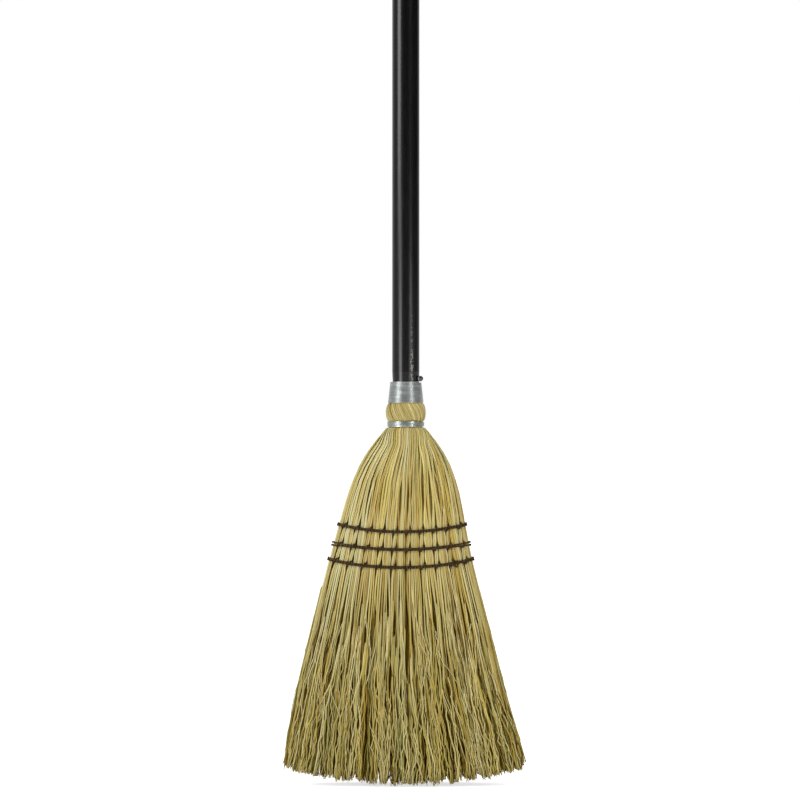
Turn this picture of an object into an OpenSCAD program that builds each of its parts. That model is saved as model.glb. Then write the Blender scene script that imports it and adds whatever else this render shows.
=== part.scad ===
// Lobby broom: a flat broomcorn head bound with wire onto a turned wooden handle
// and sewn across with three double rows of twine. Lengths are in millimetres.
// The tips of the straw touch z = 0, the handle stands along +Z and the flat front faces -Y.

/* [Handle] */
// Overall length, from the lowest straw tips to the top of the handle
broom_l = 965; // [850:1:1200]
// Diameter of the handle
handle_d = 22.2; // [19:0.1:26]
// Diameter of the handle's tapered foot, inside the straw
handle_foot_d = 12; // [9:0.1:14]
// How far the handle reaches below the lower edge of the wire band
handle_reach = 69; // [50:1:80]
// Height of the domed end of the handle
handle_dome_h = 7; // [4:0.1:10]
// How far above the neck winding the handle's taper begins
taper_rise = 8; // [6:0.1:14]

/* [Neck wire] */
// Diameter of the binding wire
wire_d = 1.0; // [0.8:0.05:1.2]
// Gap between neighbouring turns of wire
wire_gap = 0.47; // [0.45:0.01:0.8]
// Turns in the neck winding
neck_turns = 11.2; // [8:0.2:14]
// Turns in the band winding
band_turns = 2.8; // [2:0.2:5]
// Turns in the hidden winding that ties the inner straw to the handle
tie_turns = 2.2; // [2:0.2:4]

/* [Wire nail] */
// Diameter of the nail's shank
nail_d = 1.6; // [1.2:0.1:2]
// Diameter of the nail's head
nail_head_d = 4.4; // [3.4:0.1:5]
// Height of the nail's domed head
nail_head_h = 2.4; // [1:0.1:2.6]
// Depth that the nail is driven into the handle
nail_depth = 8; // [5:0.5:9]
// Height of the nail above the neck winding
nail_rise = 2.3; // [1.6:0.1:3]
// Direction of the nail, turned from the front towards the right
nail_turn = 70; // [40:1:90]

/* [Straw] */
// Length of the straw below the wire band
straw_l = 290.5; // [250:0.5:330]
// Thickness of the cut straw butts at the top of the neck winding
butt_t = 0.5; // [0.4:0.05:1]
// How far the butts stop short of the top of the neck winding
butt_inset = 1.2; // [0.5:0.1:3]
// Thickness of the straw at the foot of the neck winding
neck_t = 3; // [2:0.1:4]
// Thickness of the straw where it swells between winding and band
bulge_t = 6.4; // [4.5:0.1:8]
// Height of the swelling between winding and band
bulge_h = 14.6; // [8:0.1:18]
// Thickness of the straw under the band
band_t = 4; // [3:0.1:5]
// Drop from the band to the end of the rounded shoulders
shoulder_drop = 73; // [60:1:85]
// Width of the head at the end of the shoulders
shoulder_w = 100; // [80:1:120]
// Width across the trimmed corners of the tips
tips_w = 199.5; // [170:0.5:230]
// Radius of the arc that the tips are trimmed to
trim_r = 345; // [240:1:450]
// Depth of the ragged edge of the tips
ragged_h = 4; // [0:0.5:8]
// Depth of the flat that the lowest tips stand on
rest_cut = 0.5; // [0.3:0.1:1]
// Thickness of the head through the seams
seam_t = 26; // [22:0.5:32]
// Thickness of the head at the tips
tips_t = 44; // [34:0.5:54]
// Thickness of the cover straw at the seams
cover_t = 3.7; // [3:0.1:5]
// Drop from the band to the cut butts of the inner straw
inner_drop = 9; // [8:0.5:14]

/* [Seams] */
// Drop from the band to the first sewn row, at the middle of the head
first_seam_drop = 84.5; // [80:0.5:95]
// Drop from one sewn row to the next
seam_pitch = 14.4; // [11:0.1:18]
// Rise of a sewn row from the middle of the head to its edges
seam_rise = 5.6; // [0:0.1:9]
// Diameter of the twine
twine_d = 1.4; // [1.1:0.05:1.7]
// Gap between the two runs of twine in a row
twine_gap = 0.5; // [0.45:0.01:0.8]
// Stitches across each face of a row
stitch_count = 10; // [6:1:13]
// Sideways reach of one slanted stitch
stitch_w = 3.4; // [2:0.1:4.5]
// Upright reach of one slanted stitch
stitch_h = 6.4; // [6.2:0.1:7.5]

/* [Strands] */
// Strands side by side across the head
strand_columns = 44; // [40:4:52]
// Strands front to back in the inner straw
strand_rows = 5; // [4:1:6]
// Drop from the last sewn row to where the strands part
parting_drop = 6; // [4:0.5:12]

/* [Fit] */
// Clearance between soft or wound pieces and what they lie on
soft_gap = 0.3; // [0.25:0.05:0.5]
// Clearance around the nail in its hole
nail_gap = 0.05; // [0.02:0.01:0.15]
// Length by which a cut runs past the face that it opens
overrun = 1; // [0.5:0.1:2]

/* [Hidden] */
$fn = 96;

straw_colour = "#c9b771";
wire_colour = "#b9bcbc";
twine_colour = "#3a2a27";
lacquer_colour = "#1a1b1c";
nail_colour = "#7e8080";

// Number of sewn rows
seam_count = 3;
// Counts of the swept tubes
loop_rings = 20;
wire_sides = 6;
twine_sides = 5;

// Shares that shape the head
blunt_share = 0.95;
column_bias_share = 0.15;
flute_share = 0.25;
tip_share = 0.62;
tip_wander_share = 0.3;
core_share = 0.5;
bulge_level_shares = [0.12, 0.3, 0.55, 0.8];
shoulder_level_shares = [0.06, 0.17, 0.34, 0.55, 0.77, 1];
shoulder_slope = 1.12;
belly_slope = 0.4;
stitch_reach_share = 0.9;
stitch_taus = [-1, -0.6, 0, 0.6, 1];
stitch_lift_shares = [0, 1, 1, 1, 0];

// Heights, from the band up and from the band down
wire_r = wire_d / 2;
wire_pitch = wire_d + wire_gap;
band_z = straw_l;
band_top_z = band_z + band_turns * wire_pitch + wire_d;
neck_foot_z = band_top_z + bulge_h;
neck_top_z = neck_foot_z + neck_turns * wire_pitch + wire_d;
butt_z = neck_top_z - butt_inset;
nail_z = neck_top_z + nail_rise;
taper_z = neck_top_z + taper_rise;
foot_z = band_z - handle_reach;
shoulder_z = band_z - shoulder_drop;
last_seam_z = band_z - first_seam_drop - (seam_count - 1) * seam_pitch;
parting_z = last_seam_z - parting_drop;
tie_h = tie_turns * wire_pitch + wire_d;
tie_inset = wire_d + 2 * soft_gap;
inner_top_z = band_z - inner_drop;
tie_foot_z = inner_top_z - tie_h - 2 * wire_d;
corner_z = trim_r - sqrt(trim_r * trim_r - tips_w * tips_w / 4);

// Steps of the straw's swept surfaces, from the neck down to where the strands part
bulge_levels = [for (share = bulge_level_shares) neck_foot_z - share * bulge_h];
shoulder_levels = [for (share = shoulder_level_shares) band_z - share * shoulder_drop];
cover_levels = concat(
    [butt_z, neck_foot_z], bulge_levels, [band_top_z, band_z], shoulder_levels, [parting_z]
);
inner_levels = concat(
    [inner_top_z, tie_foot_z], [for (z = shoulder_levels) if (z < tie_foot_z - wire_d) z], [parting_z]
);

// Curves of the head

// A value that starts at a with slope m and runs into b with slope n, over the length l
function eased(t, a, m, b, n, l) =
    (2 * t * t * t - 3 * t * t + 1) * a + (t * t * t - 2 * t * t + t) * m * l
    + (3 * t * t - 2 * t * t * t) * b + (t * t * t - t * t) * n * l;

function between(t, a, b) = a + (b - a) * t;

function handle_r(z) =
    between((z - foot_z) / (taper_z - foot_z), handle_foot_d, handle_d) / 2;

// Outside of the straw around the handle, from the butts down to the band
function neck_r(z) =
    let (
        inside_r = handle_r(z) + soft_gap,
        winding_t = (butt_z - z) / (butt_z - neck_foot_z),
        bulge_at = (neck_foot_z - z) / bulge_h
    )
    z >= neck_foot_z ? inside_r + between(winding_t, butt_t, neck_t)
    : z > band_top_z ? inside_r + between(bulge_at, neck_t, band_t)
        + (bulge_t - (neck_t + band_t) / 2) * sqrt(max(0, sin(180 * bulge_at)))
    : inside_r + band_t;

side_slope = (tips_w - shoulder_w) / 2 / (shoulder_z - corner_z);

// Half the width and half the thickness of the head at a height
function half_w(z) =
    z >= band_z ? neck_r(z)
    : z >= shoulder_z ? eased((band_z - z) / shoulder_drop, neck_r(band_z), shoulder_slope,
        shoulder_w / 2, side_slope, shoulder_drop)
    : shoulder_w / 2 + (shoulder_z - z) * side_slope;

function half_t(z) =
    z >= band_z ? neck_r(z)
    : z >= shoulder_z ? eased((band_z - z) / shoulder_drop, neck_r(band_z), belly_slope,
        seam_t / 2, 0, shoulder_drop)
    : z >= parting_z ? seam_t / 2
    : between((parting_z - z) / parting_z, seam_t, tips_t) / 2;

// How much of a full oval the section keeps: the front and back meet at the neck and part below it
function blunt(z) =
    let (neck_blunt = sqrt(1 - pow(soft_gap / 2 / half_t(max(z, band_z)), 2)))
    z >= band_z ? neck_blunt
    : z >= shoulder_z ? between((band_z - z) / shoulder_drop, neck_blunt, blunt_share)
    : blunt_share;

function lens(u, z) = sqrt(1 - pow(u * blunt(z), 2));

// Share of the half width at a column edge, closer together towards the sides
function column_u(i) =
    let (s = 2 * i / strand_columns - 1)
    s * (1 + column_bias_share) - column_bias_share * s * s * s;

// Share of the half thickness that lies inside the cover straw
cover_share = 1 - 2 * cover_t / seam_t;
function tip_z(x) = trim_r - sqrt(trim_r * trim_r - x * x);

// Sweeps along a path

function unit(v) = v / norm(v);
function heading(path, i) = unit(path[min(i + 1, len(path) - 1)] - path[max(i - 1, 0)]);
function square_to(v, along) = unit(v - (v * along) * along);

// Least distance between the outsides of two stretches of a tube that lie half a loop or more apart
function least_gap(path, d) =
    let (skip = loop_rings / 2)
    min([for (i = [0 : len(path) - 1 - skip]) for (j = [i + skip : len(path) - 1])
        norm(path[i] - path[j])]) - d;

// A round tube along a path; refs holds one direction per point, across the path
module tube(path, refs, r, sides) {
    rings = len(path);
    points = [
        for (i = [0 : rings - 1])
            let (along = heading(path, i), a = square_to(refs[i], along), b = cross(along, a))
            for (k = [0 : sides - 1])
                path[i] + r * (cos(360 * k / sides) * a + sin(360 * k / sides) * b)
    ];
    skin = [
        for (i = [0 : rings - 2]) for (k = [0 : sides - 1])
            let (n = (k + 1) % sides, p = i * sides, q = p + sides)
            for (face = [[p + k, q + k, q + n], [p + k, q + n, p + n]]) face
    ];
    last = (rings - 1) * sides;
    ends = [
        for (k = [1 : sides - 2])
            for (face = [[0, k, k + 1], [last, last + k + 1, last + k]]) face
    ];
    polyhedron(points, concat(skin, ends));
}

// A path with a straight piece of one diameter added at each end
function with_straight_ends(path, d) = concat(
    [path[0] - unit(path[1] - path[0]) * d], path,
    [path[len(path) - 1] + unit(path[len(path) - 1] - path[len(path) - 2]) * d]
);

function outward(path) = [for (p = path) [p.x, p.y, 0]];

// Straw

straw_seed = 7;
wander = rands(-1, 1, 2 * strand_columns * (strand_rows + 2), straw_seed);
raggedness = rands(0, 1, strand_columns * (strand_rows + 2), straw_seed + 1);

// The four points of a strand's tip, in the cell between two column edges and two depth shares
function strand_tip(i, v0, v1, id) =
    let (
        u0 = column_u(i), u1 = column_u(i + 1),
        spare = (1 - tip_share) * tip_wander_share / 2,
        uc = (u0 + u1) / 2 + wander[2 * id] * spare * (u1 - u0),
        vc = (v0 + v1) / 2 + wander[2 * id + 1] * spare * (v1 - v0),
        du = (u1 - u0) * tip_share / 2,
        dv = (v1 - v0) * tip_share / 2,
        trimmed_z = tip_z(uc * tips_w / 2) + raggedness[id] * raggedness[id] * ragged_h,
        z = max(trimmed_z, rest_cut) - rest_cut
    )
    [for (corner = [[-1, -1], [1, -1], [1, 1], [-1, 1]])
        let (u = uc + corner.x * du, v = vc + corner.y * dv)
        [half_w(z) * u, half_t(z) * v * lens(u, z), z]];

function quad(a, b, c, d) = [[a, b, c], [a, c, d]];

// Sides and tip of a strand, from the corners of its root and the first point of its tip
function strand_faces(a, b, c, d, tip) = concat(
    quad(a, b, tip + 1, tip), quad(b, c, tip + 2, tip + 1),
    quad(c, d, tip + 3, tip + 2), quad(d, a, tip, tip + 3),
    quad(tip + 2, tip + 3, tip, tip + 1)
);

// One face's cover straw: a fluted half shell over the inner straw, parted into strands below
module cover_straw(first_id) {
    n = strand_columns;
    rows = len(cover_levels);
    edge = n + 1;
    outside = [
        for (z = cover_levels)
            let (
                depth = half_t(z),
                flute = flute_share * (z >= band_z ? depth - handle_r(z) - soft_gap : cover_t)
            )
            for (i = [0 : n])
                [half_w(z) * column_u(i), -(depth - (i % 2) * flute) * lens(column_u(i), z), z]
    ];
    inside = [
        for (z = cover_levels)
            let (
                around_handle = z >= band_z,
                w = around_handle ? handle_r(z) + soft_gap : half_w(z),
                depth = around_handle ? w : cover_share * half_t(z)
            )
            for (i = [0 : n]) [w * column_u(i), -depth * lens(column_u(i), z), z]
    ];
    tips = [for (i = [0 : n - 1]) each strand_tip(i, -1, -cover_share, first_id + i)];
    back = rows * edge;
    tip = 2 * back;
    shell = [
        for (l = [0 : rows - 2]) for (i = [0 : n - 1])
            let (p = l * edge + i, q = p + edge)
            each concat(quad(p, p + 1, q + 1, q), quad(back + p, back + q, back + q + 1, back + p + 1))
    ];
    top = [for (i = [0 : n - 1]) each quad(back + i, back + i + 1, i + 1, i)];
    sides = [
        for (l = [0 : rows - 2])
            let (p = l * edge, q = p + edge)
            each concat(quad(back + p, p, q, back + q), quad(p + n, back + p + n, back + q + n, q + n))
    ];
    root = (rows - 1) * edge;
    strands = [
        for (i = [0 : n - 1])
            each strand_faces(root + i, root + i + 1, back + root + i + 1, back + root + i, tip + 4 * i)
    ];
    polyhedron(concat(outside, inside, tips), concat(shell, top, sides, strands));
}

// A bundle of inner straw between two column edges, waisted for its tie wire and parted below
module inner_straw(first, last, first_id) {
    n = last - first;
    m = strand_rows;
    rows = len(inner_levels);
    edge = n + 1;
    function waist(z) = z >= tie_foot_z ? tie_inset : 0;
    function depth(z) = cover_share * half_t(z) - soft_gap - waist(z);
    function place(i, v, z) =
        let (u = column_u(first + i))
        [(half_w(z) - waist(z)) * u, depth(z) * v * lens(u, z), z];
    function row_v(j) = 2 * j / m - 1;
    front = [for (z = inner_levels) for (i = [0 : n]) place(i, -1, z)];
    rear = [for (z = inner_levels) for (i = [0 : n]) place(i, 1, z)];
    roots = [for (j = [1 : m - 1]) for (i = [0 : n]) place(i, row_v(j), parting_z)];
    inner_share = depth(parting_z) / half_t(parting_z);
    tips = [
        for (j = [0 : m - 1]) for (i = [0 : n - 1])
            each strand_tip(first + i, row_v(j) * inner_share, row_v(j + 1) * inner_share,
                first_id + j * n + i)
    ];
    back = rows * edge;
    middle = 2 * back;
    tip = middle + (m - 1) * edge;
    base = (rows - 1) * edge;
    function root(i, j) = j == 0 ? base + i : j == m ? back + base + i : middle + (j - 1) * edge + i;
    shell = [
        for (l = [0 : rows - 2]) for (i = [0 : n - 1])
            let (p = l * edge + i, q = p + edge)
            each concat(quad(p, p + 1, q + 1, q), quad(back + p + 1, back + p, back + q, back + q + 1))
    ];
    top = [for (i = [0 : n - 1]) each quad(back + i, back + i + 1, i + 1, i)];
    walls = [
        for (l = [0 : rows - 3])
            let (p = l * edge, q = p + edge)
            each concat(quad(back + p, p, q, back + q), quad(p + n, back + p + n, back + q + n, q + n))
    ];
    above = base - edge;
    feet = concat(
        [for (j = [0 : m - 1]) [above, root(0, j), root(0, j + 1)]],
        [[above, root(0, m), back + above]],
        [for (j = [0 : m - 1]) [above + n, root(n, j + 1), root(n, j)]],
        [[above + n, back + above + n, root(n, m)]]
    );
    strands = [
        for (j = [0 : m - 1]) for (i = [0 : n - 1])
            each strand_faces(root(i, j), root(i + 1, j), root(i + 1, j + 1), root(i, j + 1),
                tip + 4 * (j * n + i))
    ];
    polyhedron(concat(front, rear, roots, tips), concat(shell, top, walls, feet, strands));
}

core_first = round(strand_columns * (1 - core_share) / 2);
core_last = strand_columns - core_first;
inner_id = 2 * strand_columns;

module cover_straw_front() {
    color(straw_colour) cover_straw(0);
}

module cover_straw_back() {
    color(straw_colour) rotate([0, 0, 180]) cover_straw(strand_columns);
}

module core_straw() {
    color(straw_colour) difference() {
        inner_straw(core_first, core_last, inner_id);
        handle_shape(soft_gap);
    }
}

module shoulder_straw_left() {
    color(straw_colour) inner_straw(0, core_first, inner_id + strand_rows * (core_last - core_first));
}

module shoulder_straw_right() {
    color(straw_colour)
        inner_straw(core_last, strand_columns, inner_id + strand_rows * core_last);
}

// Handle and nail

handle_top_z = broom_l;
dome_z = handle_top_z - handle_dome_h;
dome_steps = 8;

// The handle's turned outline, grown by a clearance
module handle_shape(gap) {
    dome = [
        for (k = [1 : dome_steps])
            let (a = 90 * k / dome_steps)
            [(handle_d / 2 + gap) * cos(a), dome_z + (handle_dome_h + gap) * sin(a)]
    ];
    rotate_extrude() polygon(concat(
        [[0, foot_z - gap], [handle_foot_d / 2 + gap, foot_z - gap]],
        [[handle_d / 2 + gap, taper_z], [handle_d / 2 + gap, dome_z]], dome
    ));
}

// Places its children on the nail's axis, with +Z pointing out of the handle
module at_nail() {
    translate([0, 0, nail_z]) rotate([0, 0, nail_turn - 90]) rotate([0, 90, 0]) children();
}

nail_seat_r = handle_r(nail_z);
nail_head_r = nail_seat_r + wire_d + 2 * soft_gap;

module handle() {
    color(lacquer_colour) difference() {
        handle_shape(0);
        at_nail() translate([0, 0, nail_seat_r - nail_depth - nail_gap])
            cylinder(d = nail_d + 2 * nail_gap, h = nail_depth + overrun);
    }
}

// Radius of the sphere that a nail head's dome is cut from
nail_dome_r = (nail_head_d * nail_head_d / 4 + nail_head_h * nail_head_h) / (2 * nail_head_h);

module wire_nail() {
    color(nail_colour) at_nail() union() {
        translate([0, 0, nail_seat_r - nail_depth])
            cylinder(d = nail_d, h = nail_head_r - nail_seat_r + nail_depth + nail_head_h / 2);
        intersection() {
            translate([0, 0, nail_head_r + nail_head_h - nail_dome_r]) sphere(r = nail_dome_r);
            translate([0, 0, nail_head_r]) cylinder(d = nail_head_d, h = nail_head_h);
        }
    }
}

// Wire

function on_circle(r, a, z) = [r * cos(a), r * sin(a), z];

// The neck winding climbs the straw, leaves to pass under the nail and hooks back over its shank
lead_turn = 30;
neck_start = nail_turn - 90 - 360 * neck_turns - lead_turn;
hook_turn = 240;
hook_steps = 10;
hook_r = (nail_d + wire_d) / 2 + soft_gap;
lead_steps = 5;
function neck_wire_path() =
    let (
        rings = round(neck_turns * loop_rings),
        climb = [
            for (i = [0 : rings])
                let (z = neck_foot_z + wire_r + neck_turns * wire_pitch * i / rings)
                on_circle(neck_r(min(z, butt_z)) + soft_gap + wire_r,
                    neck_start + 360 * neck_turns * i / rings, z)
        ],
        from_r = neck_r(butt_z) + soft_gap + wire_r,
        r = nail_seat_r + soft_gap + wire_r,
        nail_a = nail_turn - 90,
        from_z = neck_top_z - wire_r,
        lead = [
            for (i = [1 : lead_steps - 1])
                let (t = i / lead_steps)
                on_circle(between(t, from_r, r), nail_a - lead_turn * (1 - t),
                    eased(t, from_z, 0, nail_z - hook_r, 0, 0))
        ],
        hook = [
            for (i = [0 : hook_steps])
                let (a = hook_turn * i / hook_steps - 90)
                on_circle(r, nail_a + hook_r * cos(a) / r * 180 / PI, nail_z + hook_r * sin(a))
        ]
    )
    concat(climb, lead, hook);

module neck_wire() {
    path = with_straight_ends(neck_wire_path(), wire_d);
    echo(neck_wire_least_gap = least_gap(path, wire_d));
    color(wire_colour) tube(path, outward(path), wire_r, wire_sides);
}

function band_wire_path() =
    let (rings = round(band_turns * loop_rings))
    [for (i = [0 : rings])
        let (z = band_z + wire_r + band_turns * wire_pitch * i / rings)
        on_circle(neck_r(z + wire_r) + soft_gap + wire_r, 90 + 360 * band_turns * i / rings, z)];

module band_wire() {
    path = with_straight_ends(band_wire_path(), wire_d);
    echo(band_wire_least_gap = least_gap(path, wire_d));
    color(wire_colour) tube(path, outward(path), wire_r, wire_sides);
}

// Where step i of a loop round the flat head lies: its share of the half width, and its face,
// -1 at the front and 1 at the back
loop_across = loop_rings / 2 - 1;
function loop_face(i) = i % loop_rings > loop_across ? 1 : -1;
function loop_u(i) = loop_face(i) * cos(180 * (i % (loop_rings / 2)) / loop_across);

function tie_wire_path() =
    let (
        rings = round(tie_turns * loop_rings),
        off = soft_gap + wire_r - tie_inset
    )
    [for (i = [0 : rings])
        let (
            u = loop_u(i),
            z = tie_foot_z + wire_d + wire_r + tie_turns * wire_pitch * i / rings
        )
        [(half_w(z) + off) * u, loop_face(i) * (cover_share * half_t(z) - soft_gap + off) * lens(u, z), z]];

module tie_wire() {
    path = with_straight_ends(tie_wire_path(), wire_d);
    echo(tie_wire_least_gap = least_gap(path, wire_d));
    color(wire_colour) tube(path, outward(path), wire_r, wire_sides);
}

// Seams

twine_r = twine_d / 2;
twine_pitch = twine_d + twine_gap;
wrap_turns = 2;

function seam_z(row) = band_z - first_seam_drop - (row - 1) * seam_pitch;

// A point on a sewn row: u runs across the head, face is -1 at the front and 1 at the back
function seam_point(row, u, face, lift, up) =
    let (z = seam_z(row) + seam_rise * u * u + up, bow = lens(u, z))
    [(half_w(z) + lift) * u, face * (half_t(z) * bow + lift * sqrt(bow)), z];

// Two turns of twine round the head, front and back, one run above the other
function wrap_path(row) =
    [for (i = [0 : wrap_turns * loop_rings - 1])
        let (up = twine_pitch * (floor(i / loop_rings) - (wrap_turns - 1) / 2))
        seam_point(row, loop_u(i), loop_face(i), soft_gap + twine_r, up)];

module seam_wrap(row) {
    path = wrap_path(row);
    echo(str("seam_", row, "_wrap least gap ", least_gap(path, twine_d)));
    color(twine_colour) tube(path, outward(path), twine_r, twine_sides);
}

// One slanted stitch over the two runs of a row
module stitch(row, u, face) {
    low = soft_gap + twine_r;
    high = low + twine_d + soft_gap;
    reach = stitch_w / 2 / half_w(seam_z(row));
    path = [
        for (k = [0 : len(stitch_taus) - 1])
            let (t = stitch_taus[k])
            seam_point(row, u - face * t * reach, face, between(stitch_lift_shares[k], low, high),
                t * stitch_h / 2)
    ];
    across = cross(path[len(path) - 1] - path[0], outward(path)[0]);
    tube(path, [for (p = path) across], twine_r, twine_sides);
}

module seam_stitches(row) {
    color(twine_colour) for (face = [-1, 1]) for (k = [0 : stitch_count - 1])
        stitch(row, stitch_reach_share * (2 * k / (stitch_count - 1) - 1), face);
}

handle();
wire_nail();
neck_wire();
band_wire();
tie_wire();
core_straw();
shoulder_straw_left();
shoulder_straw_right();
cover_straw_front();
cover_straw_back();
seam_wrap(1);  // seam_1_wrap
seam_wrap(2);  // seam_2_wrap
seam_wrap(3);  // seam_3_wrap
seam_stitches(1);  // seam_1_stitches
seam_stitches(2);  // seam_2_stitches
seam_stitches(3);  // seam_3_stitches
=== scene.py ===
"""Looks of the lobby broom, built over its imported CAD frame.

The handle, the nail and the hidden tie wire keep their CAD shapes and get finished materials.
The straw, the wound wire and the sewn twine are rebuilt strand by strand, with places and sizes
taken from the CAD boxes. Shapes are worked out in millimetres and written to meshes in metres.
The straw tips touch z = 0, the handle stands along +Z and the flat front faces -Y.
"""
import logging
import math
from dataclasses import dataclass, field
from enum import Enum
from typing import Any, Mapping, Sequence

import bpy
import numpy as np
from bpy.types import Material, Mesh, Node, NodeSocket, NodeTree, Object
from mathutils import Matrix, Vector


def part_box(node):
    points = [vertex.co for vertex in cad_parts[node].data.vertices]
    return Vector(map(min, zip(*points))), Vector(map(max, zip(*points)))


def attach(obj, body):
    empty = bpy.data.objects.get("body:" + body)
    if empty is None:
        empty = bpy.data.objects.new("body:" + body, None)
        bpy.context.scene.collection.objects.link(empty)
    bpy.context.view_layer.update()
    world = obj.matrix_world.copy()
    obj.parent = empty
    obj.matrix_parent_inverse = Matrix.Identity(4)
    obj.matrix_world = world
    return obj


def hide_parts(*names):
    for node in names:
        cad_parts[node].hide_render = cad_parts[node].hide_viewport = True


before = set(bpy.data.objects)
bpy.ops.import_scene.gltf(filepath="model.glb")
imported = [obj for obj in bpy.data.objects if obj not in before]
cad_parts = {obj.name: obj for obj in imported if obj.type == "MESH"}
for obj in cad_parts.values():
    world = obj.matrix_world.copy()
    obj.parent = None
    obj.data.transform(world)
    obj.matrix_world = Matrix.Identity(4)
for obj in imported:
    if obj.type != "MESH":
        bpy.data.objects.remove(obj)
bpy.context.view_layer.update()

MM = 0.001
BODY = "root"
LOG = logging.getLogger("lobby_broom")
Array = np.ndarray
Chance = np.random.Generator
Range = tuple[float, float]
Ramp = tuple[tuple[float, str], ...]


class Face(Enum):
    """A flat face of the head, by the sign of its Y."""

    FRONT = -1
    BACK = 1


class Side(Enum):
    """A shoulder of the head, by the sign of its X."""

    LEFT = -1
    RIGHT = 1


def srgb_hex(code: str) -> tuple[float, float, float, float]:
    """Turns an sRGB hex colour to linear light.

    Args:
        code: Colour as "#rrggbb".

    Returns:
        Linear red, green, blue and an alpha of 1.
    """
    parts = [int(code[i:i + 2], 16) / 255 for i in (1, 3, 5)]
    linear = [c / 12.92 if c <= 0.04045 else ((c + 0.055) / 1.055) ** 2.4 for c in parts]
    return (linear[0], linear[1], linear[2], 1.0)


def add_node(
    tree: NodeTree,
    kind: str,
    settings: Mapping[str, Any] | None = None,
    inputs: Mapping[str | int, Any] | None = None,
    ramp: Sequence[tuple[float, str]] = (),
) -> Node:
    """Adds one node with its settings and links.

    Args:
        tree: Node tree of a material or world.
        kind: Blender's name of the node type.
        settings: Attributes to set on the node.
        inputs: Socket names or numbers, each with a constant, or with the output or the node whose
            first output is linked to it.
        ramp: Stops of a colour ramp, as positions and sRGB hex colours.

    Returns:
        The new node.
    """
    node = tree.nodes.new(kind)
    for name, value in (settings or {}).items():
        setattr(node, name, value)
    for key, value in (inputs or {}).items():
        source = value.outputs[0] if isinstance(value, Node) else value
        if isinstance(source, NodeSocket):
            tree.links.new(source, node.inputs[key])
        else:
            node.inputs[key].default_value = source
    for i, (position, code) in enumerate(ramp):
        stops = node.color_ramp.elements
        stop = stops[i] if i < 2 else stops.new(position)
        stop.position = position
        stop.color = srgb_hex(code)
    return node


def per_mm(size_mm: float) -> float:
    """Scale of a pattern in object space whose features are size_mm across."""
    return 1 / (size_mm * MM)


def eased(t: Array) -> Array:
    """Smooth step from 0 to 1, flat outside."""
    t = np.clip(t, 0, 1)
    return t * t * (3 - 2 * t)


def box_mm(node: str) -> tuple[Array, Array]:
    """Lowest and highest corner of a CAD node in millimetres."""
    lo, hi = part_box(node)
    return np.array(lo) / MM, np.array(hi) / MM


def new_material(name: str) -> tuple[Material, NodeTree, Node]:
    """Starts an empty node material.

    Args:
        name: Name of the material.

    Returns:
        The material, its node tree and its output node.
    """
    material = bpy.data.materials.new(name)
    material.use_nodes = True
    tree = material.node_tree
    tree.nodes.clear()
    return material, tree, add_node(tree, "ShaderNodeOutputMaterial")


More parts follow.
